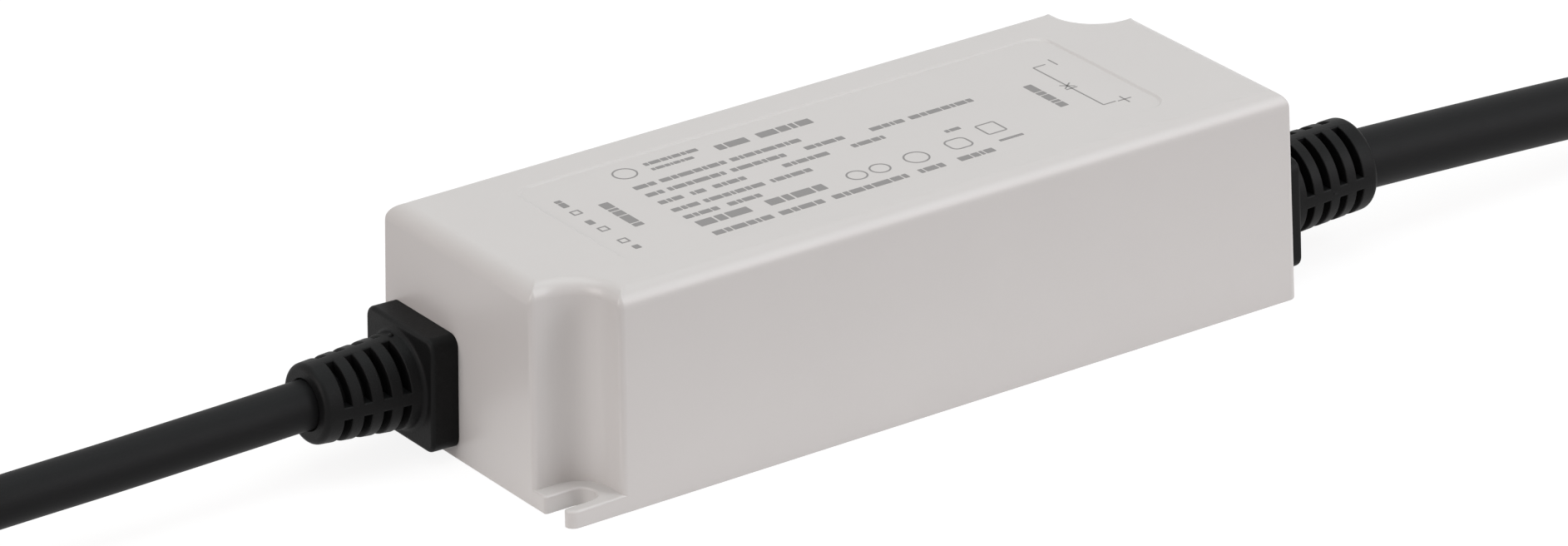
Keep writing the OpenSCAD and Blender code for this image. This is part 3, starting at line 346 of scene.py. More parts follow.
@dataclass
class Draft:
    """Points and faces of a piece in the making, in millimetres."""

    points: list[Vector] = field(default_factory=list)
    faces: list[list[int]] = field(default_factory=list)

    def ring(self, points: Iterable[Sequence[float]]) -> list[int]:
        """Adds a ring of points.

        Args:
            points: the ring's points.

        Returns:
            Their numbers.
        """
        start = len(self.points)
        self.points.extend(Vector(p) for p in points)
        return list(range(start, len(self.points)))

    def bridge(self, low: list[int], high: list[int]) -> None:
        """Joins two rings with quads.

        Args:
            low: the first ring's numbers.
            high: the numbers of the second ring, as many as in the first.
        """
        for k, here in enumerate(low):
            after = (k + 1) % len(low)
            self.faces.append([here, low[after], high[after], high[k]])

    def loft(self, rings: Iterable[Iterable[Sequence[float]]], closed: bool = False) -> "Draft":
        """Adds a skin through rings of points.

        Args:
            rings: the rings, each anticlockwise as seen from the last one.
            closed: joins the last ring to the first one instead of capping both.

        Returns:
            This draft.
        """
        drawn = [self.ring(ring) for ring in rings]
        for low, high in zip(drawn, drawn[1:]):
            self.bridge(low, high)
        if closed:
            self.bridge(drawn[-1], drawn[0])
        else:
            self.faces += [drawn[0][::-1], drawn[-1]]
        return self

    def prism(self, outline: Iterable[Pair], low: float, high: float) -> "Draft":
        """Adds an upright prism between two heights."""
        points = list(outline)
        return self.loft([[(x, y, z) for x, y in points] for z in (low, high)])

    def revolve(self, profile: Iterable[Pair], steps: int = 72) -> "Draft":
        """Adds a solid turned about Z from a profile of radius and height."""
        return self.loft([[(x, y, z) for x, y in circle(r, steps)] for r, z in profile])

    def take_in(self, other: "Draft") -> None:
        """Adds what another draft holds.

        Args:
            other: the other draft.
        """
        start = len(self.points)
        self.points += other.points
        self.faces += [[k + start for k in face] for face in other.faces]

    def piece(
        self, name: str, place: Matrix | None = None, weld_mm: float = 0.0
    ) -> bpy.types.Object:
        """Makes the Blender object.

        Args:
            name: the object's name.
            place: where the draft goes, as a matrix in millimetres.
            weld_mm: merges points that lie this near each other.

        Returns:
            The new object, linked to the scene.
        """
        place = place or Matrix()
        mesh = bpy.data.meshes.new(name)
        mesh.from_pydata([(place @ p) * MM for p in self.points], [], self.faces)
        made = bpy.data.objects.new(name, mesh)
        bpy.context.scene.collection.objects.link(made)
        if weld_mm:
            weld = made.modifiers.new("weld", "WELD")
            weld.merge_threshold = weld_mm * MM
            keep_result(made)
        return made


def keep_result(piece: bpy.types.Object) -> None:
    """Replaces a piece's mesh by what its modifiers make of it.

    Args:
        piece: the piece.
    """
    seen = piece.evaluated_get(bpy.context.evaluated_depsgraph_get())
    result = bpy.data.meshes.new_from_object(seen)
    piece.modifiers.clear()
    before, piece.data = piece.data, result
    bpy.data.meshes.remove(before)


def work(piece: bpy.types.Object, tools: list[bpy.types.Object], operation: str) -> None:
    """Adds tools to a piece or cuts them out of it, and deletes the tools.

    Args:
        piece: the piece that changes.
        tools: closed solids.
        operation: UNION or DIFFERENCE.
    """
    for tool in tools:
        step = piece.modifiers.new(tool.name, "BOOLEAN")
        step.operation, step.solver, step.object = operation, "EXACT", tool
    keep_result(piece)
    for tool in tools:
        bpy.data.objects.remove(tool)


def smooth(piece: bpy.types.Object, crease: float = 32.0) -> None:
    """Shades a piece smooth, with flat faces kept flat.

    Args:
        piece: the piece.
        crease: edges sharper than this angle in degrees stay sharp.
    """
    piece.data.shade_smooth()
    piece.data.set_sharp_from_angle(angle=math.radians(crease))
    normals = piece.modifiers.new("normals", "WEIGHTED_NORMAL")
    normals.keep_sharp = True
    keep_result(piece)


def finish_piece(
    piece: bpy.types.Object, slot: str, palette: Palette, *nodes: str
) -> bpy.types.Object:
    """Dresses a piece, lets it ride and names the CAD nodes that it stands for.

    Args:
        piece: the piece.
        slot: the record's material slot.
        palette: the materials.
        *nodes: the CAD nodes that it replaces.

    Returns:
        The piece.
    """
    palette.dress(piece, slot)
    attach(piece, BODY)
    if nodes:
        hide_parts(*nodes)
    log.info("%s: %d faces, stands for %s",
             piece.name, len(piece.data.polygons), ", ".join(nodes) or "nothing")
    return piece


# The housing


@dataclass
class Housing:
    """One-piece moulded housing with two cut-out corners and slotted ears."""

    length: float = 140.0
    width: float = 53.0
    height: float = 36.0
    draft: float = 1.1
    wall: float = 1.8
    top: float = 2.4
    corner_r: float = 1.5
    notch_edge_r: float = 1.0
    edge_r: float = 3.0
    notch_top_r: float = 2.4
    foot_r: float = 0.25
    least_r: float = 0.3
    inner_r: float = 1.0
    notch: float = 9.8
    notch_r: float = 6.0
    ear: float = 3.0
    ear_edge: float = 0.45
    ear_inset: float = 0.012
    slot_w: float = 5.0
    slot_side: float = 4.6
    slot_end: float = 4.9
    slot_lip: float = 0.4
    slot_reach: float = 4.0
    mouth_r: float = 0.7
    cover: float = 2.0
    cover_rim: float = 1.2
    cover_edge: float = 0.25
    recess_l: float = 102.0
    recess_w: float = 34.5
    recess_back: float = 9.5
    recess_r: float = 3.5
    recess_depth: float = 0.3
    recess_slope: float = 0.55
    neck_d: float = 13.0
    gap: float = 0.05
    past: float = 1.0
    corner_steps: int = 8
    notch_steps: int = 20
    edge_steps: int = 12
    foot_steps: int = 3
    lip_steps: int = 5
    slot_steps: int = 24
    recess_steps: int = 8
    recess_corner_steps: int = 10
    hole_steps: int = 64

    @property
    def lean(self) -> float:
        """Angle by which the walls lean in, in radians."""
        return math.atan(self.draft / self.height)

    @property
    def hollow_inset(self) -> float:
        """Distance of the hollow's upright walls from the base outline."""
        return self.wall + self.draft

    @property
    def recess_y(self) -> float:
        """Middle of the recess across the housing."""
        return self.width / 2 - self.recess_back - self.recess_w / 2

    def lean_in(self, z: float) -> float:
        """How far the walls have leaned in at a height."""
        return self.draft * z / self.height

    def outline(
        self, inset: float, least_r: float | None = None, lean: float = 0.0
    ) -> list[Pair]:
        """Outline of the housing: a plain and a cut-out corner, twice.

        Args:
            inset: how far it lies inside the outline at the base.
            least_r: the smallest radius that its outward corners keep.
            lean: the part of the inset that takes nothing off the cut-outs' edges.

        Returns:
            The outline's points, anticlockwise.
        """
        hx, hy = self.length / 2 - inset, self.width / 2 - inset
        least = self.least_r if least_r is None else least_r
        r, e = max(self.corner_r - inset, least), max(self.notch_edge_r - inset + lean, least)
        hollow_r = min(self.notch_r + inset, self.notch - e - self.least_r)
        inner = (hx - self.notch + hollow_r, hy - self.notch + hollow_r)
        half = (
            arc((hx - r, r - hy), r, -90, 0, self.corner_steps)
            + arc((hx - e, hy - self.notch - e), e, 0, 90, self.corner_steps)
            + arc(inner, hollow_r, 270, 180, self.notch_steps)
            + arc((hx - self.notch - e, hy - e), e, 0, 90, self.corner_steps)
        )
        return half + turned(half)

    def skin(self) -> Draft:
        """Draws the outside: leaning walls with a rounded foot and top edge.

        Returns:
            The closed outside, without the ears.
        """

        def ring(z: float, inset: float) -> list[Vector]:
            """The outside's outline at one height."""
            lean = self.lean_in(z)
            return [Vector((x, y, z)) for x, y in self.outline(inset + lean, lean=lean)]

        def edge(radius: float) -> list[list[Vector]]:
            """The rings of a top edge of this radius."""
            return [ring(self.height - down, inset)
                    for down, inset in rounding(radius, self.edge_steps)]

        rings = [ring(up, inset) for inset, up in rounding(self.foot_r, self.foot_steps)]
        turn_in = [i / self.corner_steps for i in range(self.corner_steps + 1)]
        shares = [0.0] * len(turn_in) + turn_in + [1.0] * (self.notch_steps + 1) + turn_in[::-1]
        for walls, hollows in zip(edge(self.edge_r), edge(self.notch_top_r)):
            rings.append([wall.lerp(hollow, share)
                          for wall, hollow, share in zip(walls, hollows, shares * 2)])
        return Draft().loft(rings)

    def ear_block(self) -> Draft:
        """Draws the block that fills the front left cut-out up to the ear's height.

        Returns:
            The closed block.
        """
        x0, y0 = -self.length / 2, -self.width / 2
        reach = self.notch + self.corner_r + self.least_r

        def ring(z: float, inset: float) -> list[Triple]:
            """Draws the block's outline.

            Args:
                z: its height.
                inset: how far it lies inside the upright through the base outline.

            Returns:
                The ring's points.
            """
            inset += self.lean_in(z)
            at = (x0 + self.corner_r + inset, y0 + self.corner_r + inset)
            flat = [
                (x0 + inset, y0 + reach),
                *arc(at, self.corner_r, 180, 270, self.corner_steps),
                (x0 + reach, y0 + inset),
                (x0 + reach, y0 + reach),
            ]
            return [(x, y, z) for x, y in flat]

        foot = rounding(self.foot_r, self.foot_steps)
        edge = rounding(self.ear_edge, self.lip_steps)
        return Draft().loft(
            [ring(up + self.ear_inset, self.ear_inset + inset) for inset, up in foot]
            + [ring(self.ear - down, self.ear_inset + inset) for down, inset in edge])

    def slot_tool(self) -> Draft:
        """Draws the tool for the front left screw slot, with a rounded lip and mouth.

        Returns:
            The closed tool.
        """
        end = -self.length / 2 + self.lean_in(self.ear / 2)
        far = -self.length / 2 - self.slot_reach
        middle = self.slot_side - self.width / 2

        def ring(z: float, grow: float) -> list[Triple]:
            """Draws the slot's outline.

            Args:
                z: its height.
                grow: how much wider the lip makes it on each side.

            Returns:
                The ring's points.
            """
            half = self.slot_w / 2 + grow
            radius = self.mouth_r - grow
            mouth = arc((end + self.mouth_r, half + radius), radius, 270, 180, self.lip_steps)
            mouth.append((2 * mouth[-1][0] - mouth[-2][0], 2 * mouth[-1][1] - mouth[-2][1]))
            mouth.append((far, mouth[-1][1]))
            round_end = arc((self.slot_end - self.length / 2, 0), half, -90, 90, self.slot_steps)
            lower = [(x, -y) for x, y in reversed(mouth)]
            return [(x, y + middle, z) for x, y in lower + round_end + mouth]

        rings = [ring(-self.past, 0.0)]
        rings += [ring(self.ear - down, grow)
                  for down, grow in rounding(self.slot_lip, self.lip_steps)]
        return Draft().loft([*rings, carried_on(rings)])

    def recess_tool(self) -> Draft:
        """Draws the tool for the shallow recess in the top, with soft slopes.

        Returns:
            The closed tool.
        """
        rings = []
        for i in range(self.recess_steps + 1):
            t = i / self.recess_steps
            grow = self.recess_slope * (t - 0.5)
            z = self.height - self.recess_depth * (1 - t * t * (3 - 2 * t))
            flat = rounded_box(self.recess_l + 2 * grow, self.recess_w + 2 * grow,
                               self.recess_r + grow, self.recess_corner_steps)
            rings.append([(x, y + self.recess_y, z) for x, y in flat])
        last = carried_on(rings)
        high = [p + Vector((0, 0, self.past)) for p in last]
        return Draft().loft([*rings, last, high])

    def on_end(self, side: int, y: float, z: float) -> Matrix:
        """Places something made along +Z on an end wall, in millimetres.

        Args:
            side: 1 for the right end and -1 for the left end.
            y: its place across the housing.
            z: its height.

        Returns:
            The matrix, which turns the piece's own -X upwards.
        """
        place = Matrix.Translation((side * (self.length / 2 - self.lean_in(z)), y, z))
        turn = Matrix.Rotation(math.pi if side < 0 else 0.0, 4, "Z")
        return place @ turn @ Matrix.Rotation(math.pi / 2 - self.lean, 4, "Y")

    def build(self, palette: Palette, glands: list["Gland"]) -> None:
        """Makes the housing and the cover in its base.

        Args:
            palette: the materials.
            glands: the glands, whose necks pass through the end walls.
        """
        half_turn = Matrix.Rotation(math.pi, 4, "Z")
        shell = self.skin().piece("housing_shell")
        ears = [self.ear_block().piece("ear"), self.ear_block().piece("ear", half_turn)]
        work(shell, ears, "UNION")
        hollow = self.outline(self.hollow_inset, self.inner_r)
        seat = self.outline(self.cover_rim, self.inner_r)
        tools = [
            Draft().prism(hollow, -self.past, self.height - self.top).piece("hollow"),
            Draft().prism(seat, -2 * self.past, self.cover).piece("seat"),
            self.slot_tool().piece("slot"),
            self.slot_tool().piece("slot", half_turn),
            self.recess_tool().piece("recess"),
        ]
        hole = circle(self.neck_d / 2 + self.gap, self.hole_steps)
        for gland in glands:
            lift = Matrix.Translation((-gland.rise, 0, 0))
            bore = Draft().prism(hole, -self.hollow_inset - self.past, self.past)
            tools.append(bore.piece(
                "neck_hole", self.on_end(gland.side, gland.y, gland.z) @ lift))
        work(shell, tools, "DIFFERENCE")
        smooth(shell)
        finish_piece(shell, "housing_plastic", palette, "housing")
        self._cover(palette)

    def _cover(self, palette: Palette) -> None:
        """Makes the plate that closes the base, with a small round edge.

        Args:
            palette: the materials.
        """
        inset = self.cover_rim + self.gap
        rings = [(up, inset + more) for more, up in rounding(self.cover_edge, self.foot_steps)]
        rings.append((self.cover - self.gap, inset))
        plate = Draft().loft(
            [[(x, y, z) for x, y in self.outline(i, self.inner_r)] for z, i in rings])
        piece = plate.piece("base_plate")
        smooth(piece)
        finish_piece(piece, "cover_plastic", palette, "base_cover")


# Glands and cables


@dataclass
class Gland:
    """Moulded rubber gland: a square flange and a slotted strain relief.

    pip is the small moulding mark: its distance from the wall, its turn about
    the cable in radians and its distance from the cable's middle. pip_shape
    gives its radius and height, and mouth gives how much wider the bore is at
    distances past the relief's end.
    """

    name: str
    node: str
    side: int
    y: float
    z: float
    rise: float
    cable_d: float
    root_d: float
    tip_d: float
    pip: Triple
    flange_w: float = 19.0
    flange_t: float = 4.8
    flange_r: float = 2.0
    flange_edge: float = 0.7
    slots: int = 4
    slot_w: float = 1.4
    web: float = 2.0
    root_collar: float = 2.4
    end_collar: float = 3.2
    tip_edge: float = 1.0
    rib_w: float = 2.1
    sleeve: float = 0.75
    neck_d: float = 13.0
    collar_d: float = 16.0
    collar_t: float = 2.5
    root_fillet: float = 0.7
    lip: float = 0.22
    gap: float = 0.05
    past: float = 1.0
    deep: float = 99.0
    pip_shape: Sequence[Pair] = ((0.42, -0.6), (0.40, 0.1), (0.28, 0.3), (0.1, 0.38))
    mouth: Sequence[Pair] = ((0.0, -0.4), (0.06, -0.2), (0.2, -0.05), (0.5, 0.1), (0.5, 1.0))
    weld: float = 0.0005
    slot_steps: int = 14
    rib_steps: int = 3
    lip_steps: int = 3
    fillet_steps: int = 5
    edge_steps: int = 6
    corner_steps: int = 8
    pip_steps: int = 16

    @property
    def relief_l(self) -> float:
        """Length of the strain relief past the flange."""
        slotted = self.slots * self.slot_w + (self.slots - 1) * self.web
        return self.root_collar + slotted + self.end_collar

    @property
    def tip(self) -> float:
        """Distance of the relief's end from the wall."""
        return self.flange_t + self.relief_l

    def radius(self, s: float) -> float:
        """Radius of the tapered relief at distance s from the wall."""
        share = (s - self.flange_t) / (self.relief_l - self.tip_edge)
        return self.root_d / 2 + (self.tip_d - self.root_d) / 2 * max(share, 0.0)

    def lips(self) -> list[Pair]:
        """Steps over the rounded lip of a slot: distance towards it and depth."""
        turns = [math.radians(90 * i / self.lip_steps) for i in range(self.lip_steps + 1)]
        return [(self.lip * math.sin(a), self.lip * (1 - math.cos(a))) for a in turns]

    def rows(self) -> list[Triple]:
        """Sets out the rows along the relief.

        Returns:
            Each row's distance from the wall, added radius and depth of cut.
        """
        rows = [(self.flange_t + along, more, 0.0)
                for along, more in reversed(rounding(self.root_fillet, self.fillet_steps))]
        first, second = rows[0], rows[1]
        rows.insert(0, (2 * first[0] - second[0], 2 * first[1] - second[1], 0.0))
        for i in range(self.slots):
            low = self.flange_t + self.root_collar + i * (self.slot_w + self.web)
            high = low + self.slot_w
            rows += [(low - self.lip + along, 0.0, down) for along, down in self.lips()]
            rows += [(low, 0.0, self.deep), (high, 0.0, self.deep)]
            rows += [(high + self.lip - along, 0.0, down)
                     for along, down in reversed(self.lips())]
        rows.append((self.tip - self.tip_edge, 0.0, 0.0))
        return rows

    def columns(self) -> list[tuple[int, float, float | None, float]]:
        """Sets out the columns round the relief.

        Returns:
            Each column's quarter, distance from the middle of a rib, share of
            the way between two ribs or None on a rib, and depth of cut.
        """
        flat = self.rib_w / 2 - self.lip
        lips = [(flat + along, down) for along, down in self.lips()]
        columns = []
        for quarter in range(4):
            columns += [(quarter, flat * i / self.rib_steps, None, 0.0)
                        for i in range(self.rib_steps)]
            columns += [(quarter, w, None, down) for w, down in lips]
            columns += [(quarter, 0.0, i / self.slot_steps, self.deep)
                        for i in range(self.slot_steps + 1)]
            columns += [(quarter + 1, -w, None, down) for w, down in reversed(lips)]
            columns += [(quarter + 1, -flat * i / self.rib_steps, None, 0.0)
                        for i in range(self.rib_steps - 1, 0, -1)]
        return columns

    def relief(self) -> Draft:
        """Draws the slotted relief as one skin of rows and columns.

        Returns:
            The closed relief, along +Z from the wall.
        """
        bottom = self.cable_d / 2 + self.sleeve
        rings = []
        for s, more, cut in self.rows():
            ring = []
            for quarter, w, share, down in self.columns():
                outer = self.radius(s) + more
                r = max(outer - min(cut, down), min(bottom, outer))
                if share is None:
                    angle = math.radians(90 * quarter) + math.asin(w / r)
                else:
                    wall = math.asin(self.rib_w / 2 / r)
                    angle = math.radians(90 * quarter) + wall + share * (math.pi / 2 - 2 * wall)
                ring.append((r * math.cos(angle), r * math.sin(angle), s))
            rings.append(ring)
        for back, inset in rounding(self.tip_edge, self.edge_steps)[1:]:
            r, s = self.tip_d / 2 - inset, self.tip - back
            rings.append([(x * r / math.hypot(x, y), y * r / math.hypot(x, y), s)
                          for x, y, _ in rings[-1]])
        return Draft().loft(rings)

    def flange(self) -> Draft:
        """Draws the square flange, with its outer edge rounded.

        Returns:
            The closed flange, along +Z from the wall.
        """
        rings = [(self.gap, 0.0)]
        rings += [(self.flange_t - back, inset)
                  for back, inset in rounding(self.flange_edge, self.edge_steps)]
        return Draft().loft([
            [(x, y, s) for x, y in rounded_box(self.flange_w - 2 * inset, self.flange_w - 2 * inset,
                                               self.flange_r - inset, self.corner_steps)]
            for s, inset in rings])

    def build(self, housing: Housing, palette: Palette) -> bpy.types.Object:
        """Makes the gland.

        Args:
            housing: the housing that it sits on.
            palette: the materials.

        Returns:
            The gland's piece.
        """
        on_wall = housing.on_end(self.side, self.y, self.z)
        lifted = on_wall @ Matrix.Translation((-self.rise, 0, 0))
        wall_here = housing.hollow_inset - housing.lean_in(self.z)
        front = -(wall_here + self.collar_d / 2 * math.tan(housing.lean) + self.gap)
        back = front - self.collar_t
        neck = Draft().revolve([(self.collar_d / 2, back), (self.collar_d / 2, front),
                                (self.neck_d / 2, front), (self.neck_d / 2, self.flange_t / 2)])
        piece = self.flange().piece(self.name, on_wall)
        s, turn, lift = self.pip
        at_pip = lifted @ Matrix.Rotation(turn, 4, "Z") @ Matrix.Translation((lift, 0, s))
        at_pip = at_pip @ Matrix.Rotation(math.pi / 2, 4, "Y")
        pip = Draft().revolve(self.pip_shape, self.pip_steps)
        work(piece, [self.relief().piece("relief", lifted, weld_mm=self.weld),
                     neck.piece("neck", lifted), pip.piece("pip", at_pip)], "UNION")
        r = self.cable_d / 2 + self.gap
        bore = [(r, back - self.past)]
        bore += [(r + wider, self.tip + out) for wider, out in self.mouth]
        work(piece, [Draft().revolve(bore).piece("bore", lifted)], "DIFFERENCE")
        smooth(piece)
        return finish_piece(piece, "black_rubber", palette, self.node)


def curve_through(points: Sequence[Vector], steps: int) -> list[Vector]:
    """Smooth line through points.

    Args:
        points: the points that it passes through.
        steps: how many steps lie between two of them.

    Returns:
        The line's points.
    """
    padded = [2 * points[0] - points[1], *points, 2 * points[-1] - points[-2]]
    line = []
    for p0, p1, p2, p3 in zip(padded, padded[1:], padded[2:], padded[3:]):
        reach = (p2 - p1).length
        m1 = (p2 - p0) * reach / ((p2 - p1).length + (p1 - p0).length)
        m2 = (p3 - p1) * reach / ((p3 - p2).length + (p2 - p1).length)
        for i in range(steps):
            t = i / steps
            line.append((2 * t**3 - 3 * t**2 + 1) * p1 + (t**3 - 2 * t**2 + t) * m1
                        + (3 * t**2 - 2 * t**3) * p2 + (t**3 - t**2) * m2)
    return [*line, points[-1].copy()]


def heading(line: Sequence[Vector], i: int) -> Vector:
    """The way that a line runs at its point i."""
    return (line[min(i + 1, len(line) - 1)] - line[max(i - 1, 0)]).normalized()


def swept(
    line: Sequence[Vector],
    radius: float,
    sides: int,
    ending: Sequence[Pair] = (),
    strands: int = 0,
    groove_depth: float = 0.0,
    twist: float = 0.0,
) -> Draft:
    """Round tube along a line.

    Args:
        line: its centreline.
        radius: its radius.
        sides: the points round it.
        ending: more rings, as distance past the line's end and radius.
        strands: the strands that show round it.
        groove_depth: how deep the grooves between strands are.
        twist: the turns that the strands make along it.

    Returns:
        The closed tube.
    """
    rings = []
    last = len(line) - 1
    stations = [(line[i], heading(line, i), radius, i / last) for i in range(last + 1)]
    stations += [(line[last] + along * heading(line, last), heading(line, last), r, 1.0)
                 for along, r in ending]
    for middle, way, r, share in stations:
        u = way.cross(Vector((0, 1, 0))).normalized()
        v = way.cross(u)
        ring = []
        for k in range(sides):
            a = 2 * math.pi * k / sides
            turn = strands * (a - 2 * math.pi * twist * share) / 2
            groove = groove_depth * (1 - abs(math.cos(turn)))
            ring.append(middle + (r - groove) * (math.cos(a) * u + math.sin(a) * v))
        rings.append(ring)
    return Draft().loft(rings)


def cut_end(
    outer: float, rim: Sequence[Pair], inner: float, mouth: Sequence[Pair]
) -> list[Pair]:
    """Sets out the rings of a cut end, from the outside over the rim and inwards.

    Args:
        outer: the outer radius.
        rim: each outer ring's distance past the end, and what its radius loses.
        inner: the inner radius.
        mouth: each inner ring's distance past the end, and what its radius gains.

    Returns:
        Each ring's distance past the end and its radius.
    """
    return ([(past, outer - less) for past, less in rim]
            + [(past, inner + more) for past, more in mouth])


@dataclass
class Core:
    """One insulated core that leaves a cable's end.

    aside and up give its place in the cable, and spread how much further
    aside it lies at its end.
    """

    name: str
    node: str
    slot: str
    aside: float
    up: float
    spread: float


@dataclass
class Cable:
    """Jacketed cable with a stripped end.

    steps are the points of its route past the relief's end: distance outwards,
    distance aside and height. core_fall gives the share of a core's length and
    the share of its fall to the floor there. The rims and mouths are those of
    cut_end.
    """

    name: str
    node: str
    tips_name: str
    tips_node: str
    gland: Gland
    diameter: float
    core_d: float
    steps: Sequence[Triple]
    cores: Sequence[Core]
    length: float
    core_spacing: float
    inside: float = 6.0
    core_l: float = 25.0
    core_play: float = 0.1
    core_fall: Sequence[Pair] = ((0, 0), (0.2, 0), (0.5, 0.35), (0.8, 0.85), (1, 1))
    core_rim: Sequence[Pair] = ((-0.06, 0.0), (0.0, 0.08))
    core_mouth: Sequence[Pair] = ((0.0, 0.1), (-0.4, 0.06))
    bore_share: float = 0.76
    bore_depth: float = 2.2
    jacket_rim: Sequence[Pair] = ((-0.12, 0.0), (-0.03, 0.04), (0.0, 0.12))
    jacket_mouth: Sequence[Pair] = ((0.0, 0.1), (-0.03, 0.03), (-0.1, 0.0))
    tip_l: float = 10.0
    tip_share: float = 0.5
    tip_dome: Pair = (0.08, 0.7)
    strands: int = 9
    strand_share: float = 0.3
    strand_turns: float = 0.9
    jacket_sides: int = 40
    core_sides: int = 28
    tip_sides: int = 48
    jacket_steps: int = 6
    core_steps: int = 8
    tip_steps: int = 24
    tip_crease: float = 60.0

    def route(self, housing: Housing) -> list[Vector]:
        """Sets out the cable's route from the relief's end, in millimetres.

        Args:
            housing: the housing that the cable leaves.

        Returns:
            The route's points.
        """
        gland = self.gland
        on_wall = housing.on_end(gland.side, gland.y, gland.z)
        end = on_wall @ Vector((-gland.rise, 0, gland.tip))
        return [end] + [Vector((end.x + gland.side * out, end.y - gland.side * aside, z))
                        for out, aside, z in self.steps]

    def build(self, housing: Housing, palette: Palette) -> None:
        """Args:
            housing: the housing that the cable leaves.
            palette: the materials.
        """
        points = self.route(housing)
        on_wall = housing.on_end(self.gland.side, self.gland.y, self.gland.z)
        way = on_wall.to_3x3() @ Vector((0, 0, 1))
        line = curve_through([points[0] - self.inside * way, *points], self.jacket_steps)
        r, bore = self.diameter / 2, self.diameter / 2 * self.bore_share
        ending = cut_end(r, self.jacket_rim, bore, [*self.jacket_mouth, (-self.bore_depth, 0.0)])
        jacket = swept(line, r, self.jacket_sides, ending).piece(self.name)
        smooth(jacket)
        finish_piece(jacket, "cable_jacket", palette, self.node)
        on_it = [self._core(points, core, palette) for core in self.cores]
        on_it.append(self._tips(points, palette))

    def _core_line(self, points: list[Vector], core: Core) -> list[Vector]:
        """Sets out a core's centreline, from inside the jacket to its bare tip.

        Args:
            points: the cable's route.
            core: the core.

        Returns:
            The line's points.
        """
        start = points[-1]
        way = (points[-1] - points[-2]).normalized()
        across = Vector((0, 0, 1)).cross(way).normalized()
        down = self.core_d / 2 + self.core_spacing - start.z - core.up
        knots = [start + k * self.core_l * way + (core.aside + fallen * core.spread) * across
                 + Vector((0, 0, core.up + fallen * down))
                 for k, fallen in self.core_fall]
        inner = knots[0] - (self.bore_depth - self.core_play) * way
        return curve_through([inner, *knots], self.core_steps)

    def _core(self, points: list[Vector], core: Core, palette: Palette) -> bpy.types.Object:
        """Makes one insulated core.

        Args:
            points: the cable's route.
            core: the core.
            palette: the materials.

        Returns:
            The core's piece.
        """
        r = self.core_d / 2
        ending = cut_end(r, self.core_rim, r * self.tip_share, self.core_mouth)
        line = self._core_line(points, core)
        piece = swept(line, r, self.core_sides, ending).piece(core.name)
        smooth(piece)
        return finish_piece(piece, core.slot, palette, core.node)

    def _tips(self, points: list[Vector], palette: Palette) -> bpy.types.Object:
        """Makes the twisted and tinned wire ends of all the cores.

        Args:
            points: the cable's route.
            palette: the materials.

        Returns:
            The piece that holds them.
        """
        tips = Draft()
        r = self.core_d / 2 * self.tip_share
        past, share = self.tip_dome
        for core in self.cores:
            line = self._core_line(points, core)
            way = heading(line, len(line) - 1)
            end = line[-1] + self.tip_l * Vector((way.x, way.y, 0))
            steps = [line[-1].lerp(end, t / self.tip_steps) for t in range(self.tip_steps + 1)]
            tips.take_in(swept(steps, r, self.tip_sides, [(past, share * r)], self.strands,
                               self.strand_share * r, self.strand_turns))
        piece = tips.piece(self.tips_name)
        smooth(piece, self.tip_crease)
        return finish_piece(piece, "tinned_wire", palette, self.tips_node)


# Print on the top


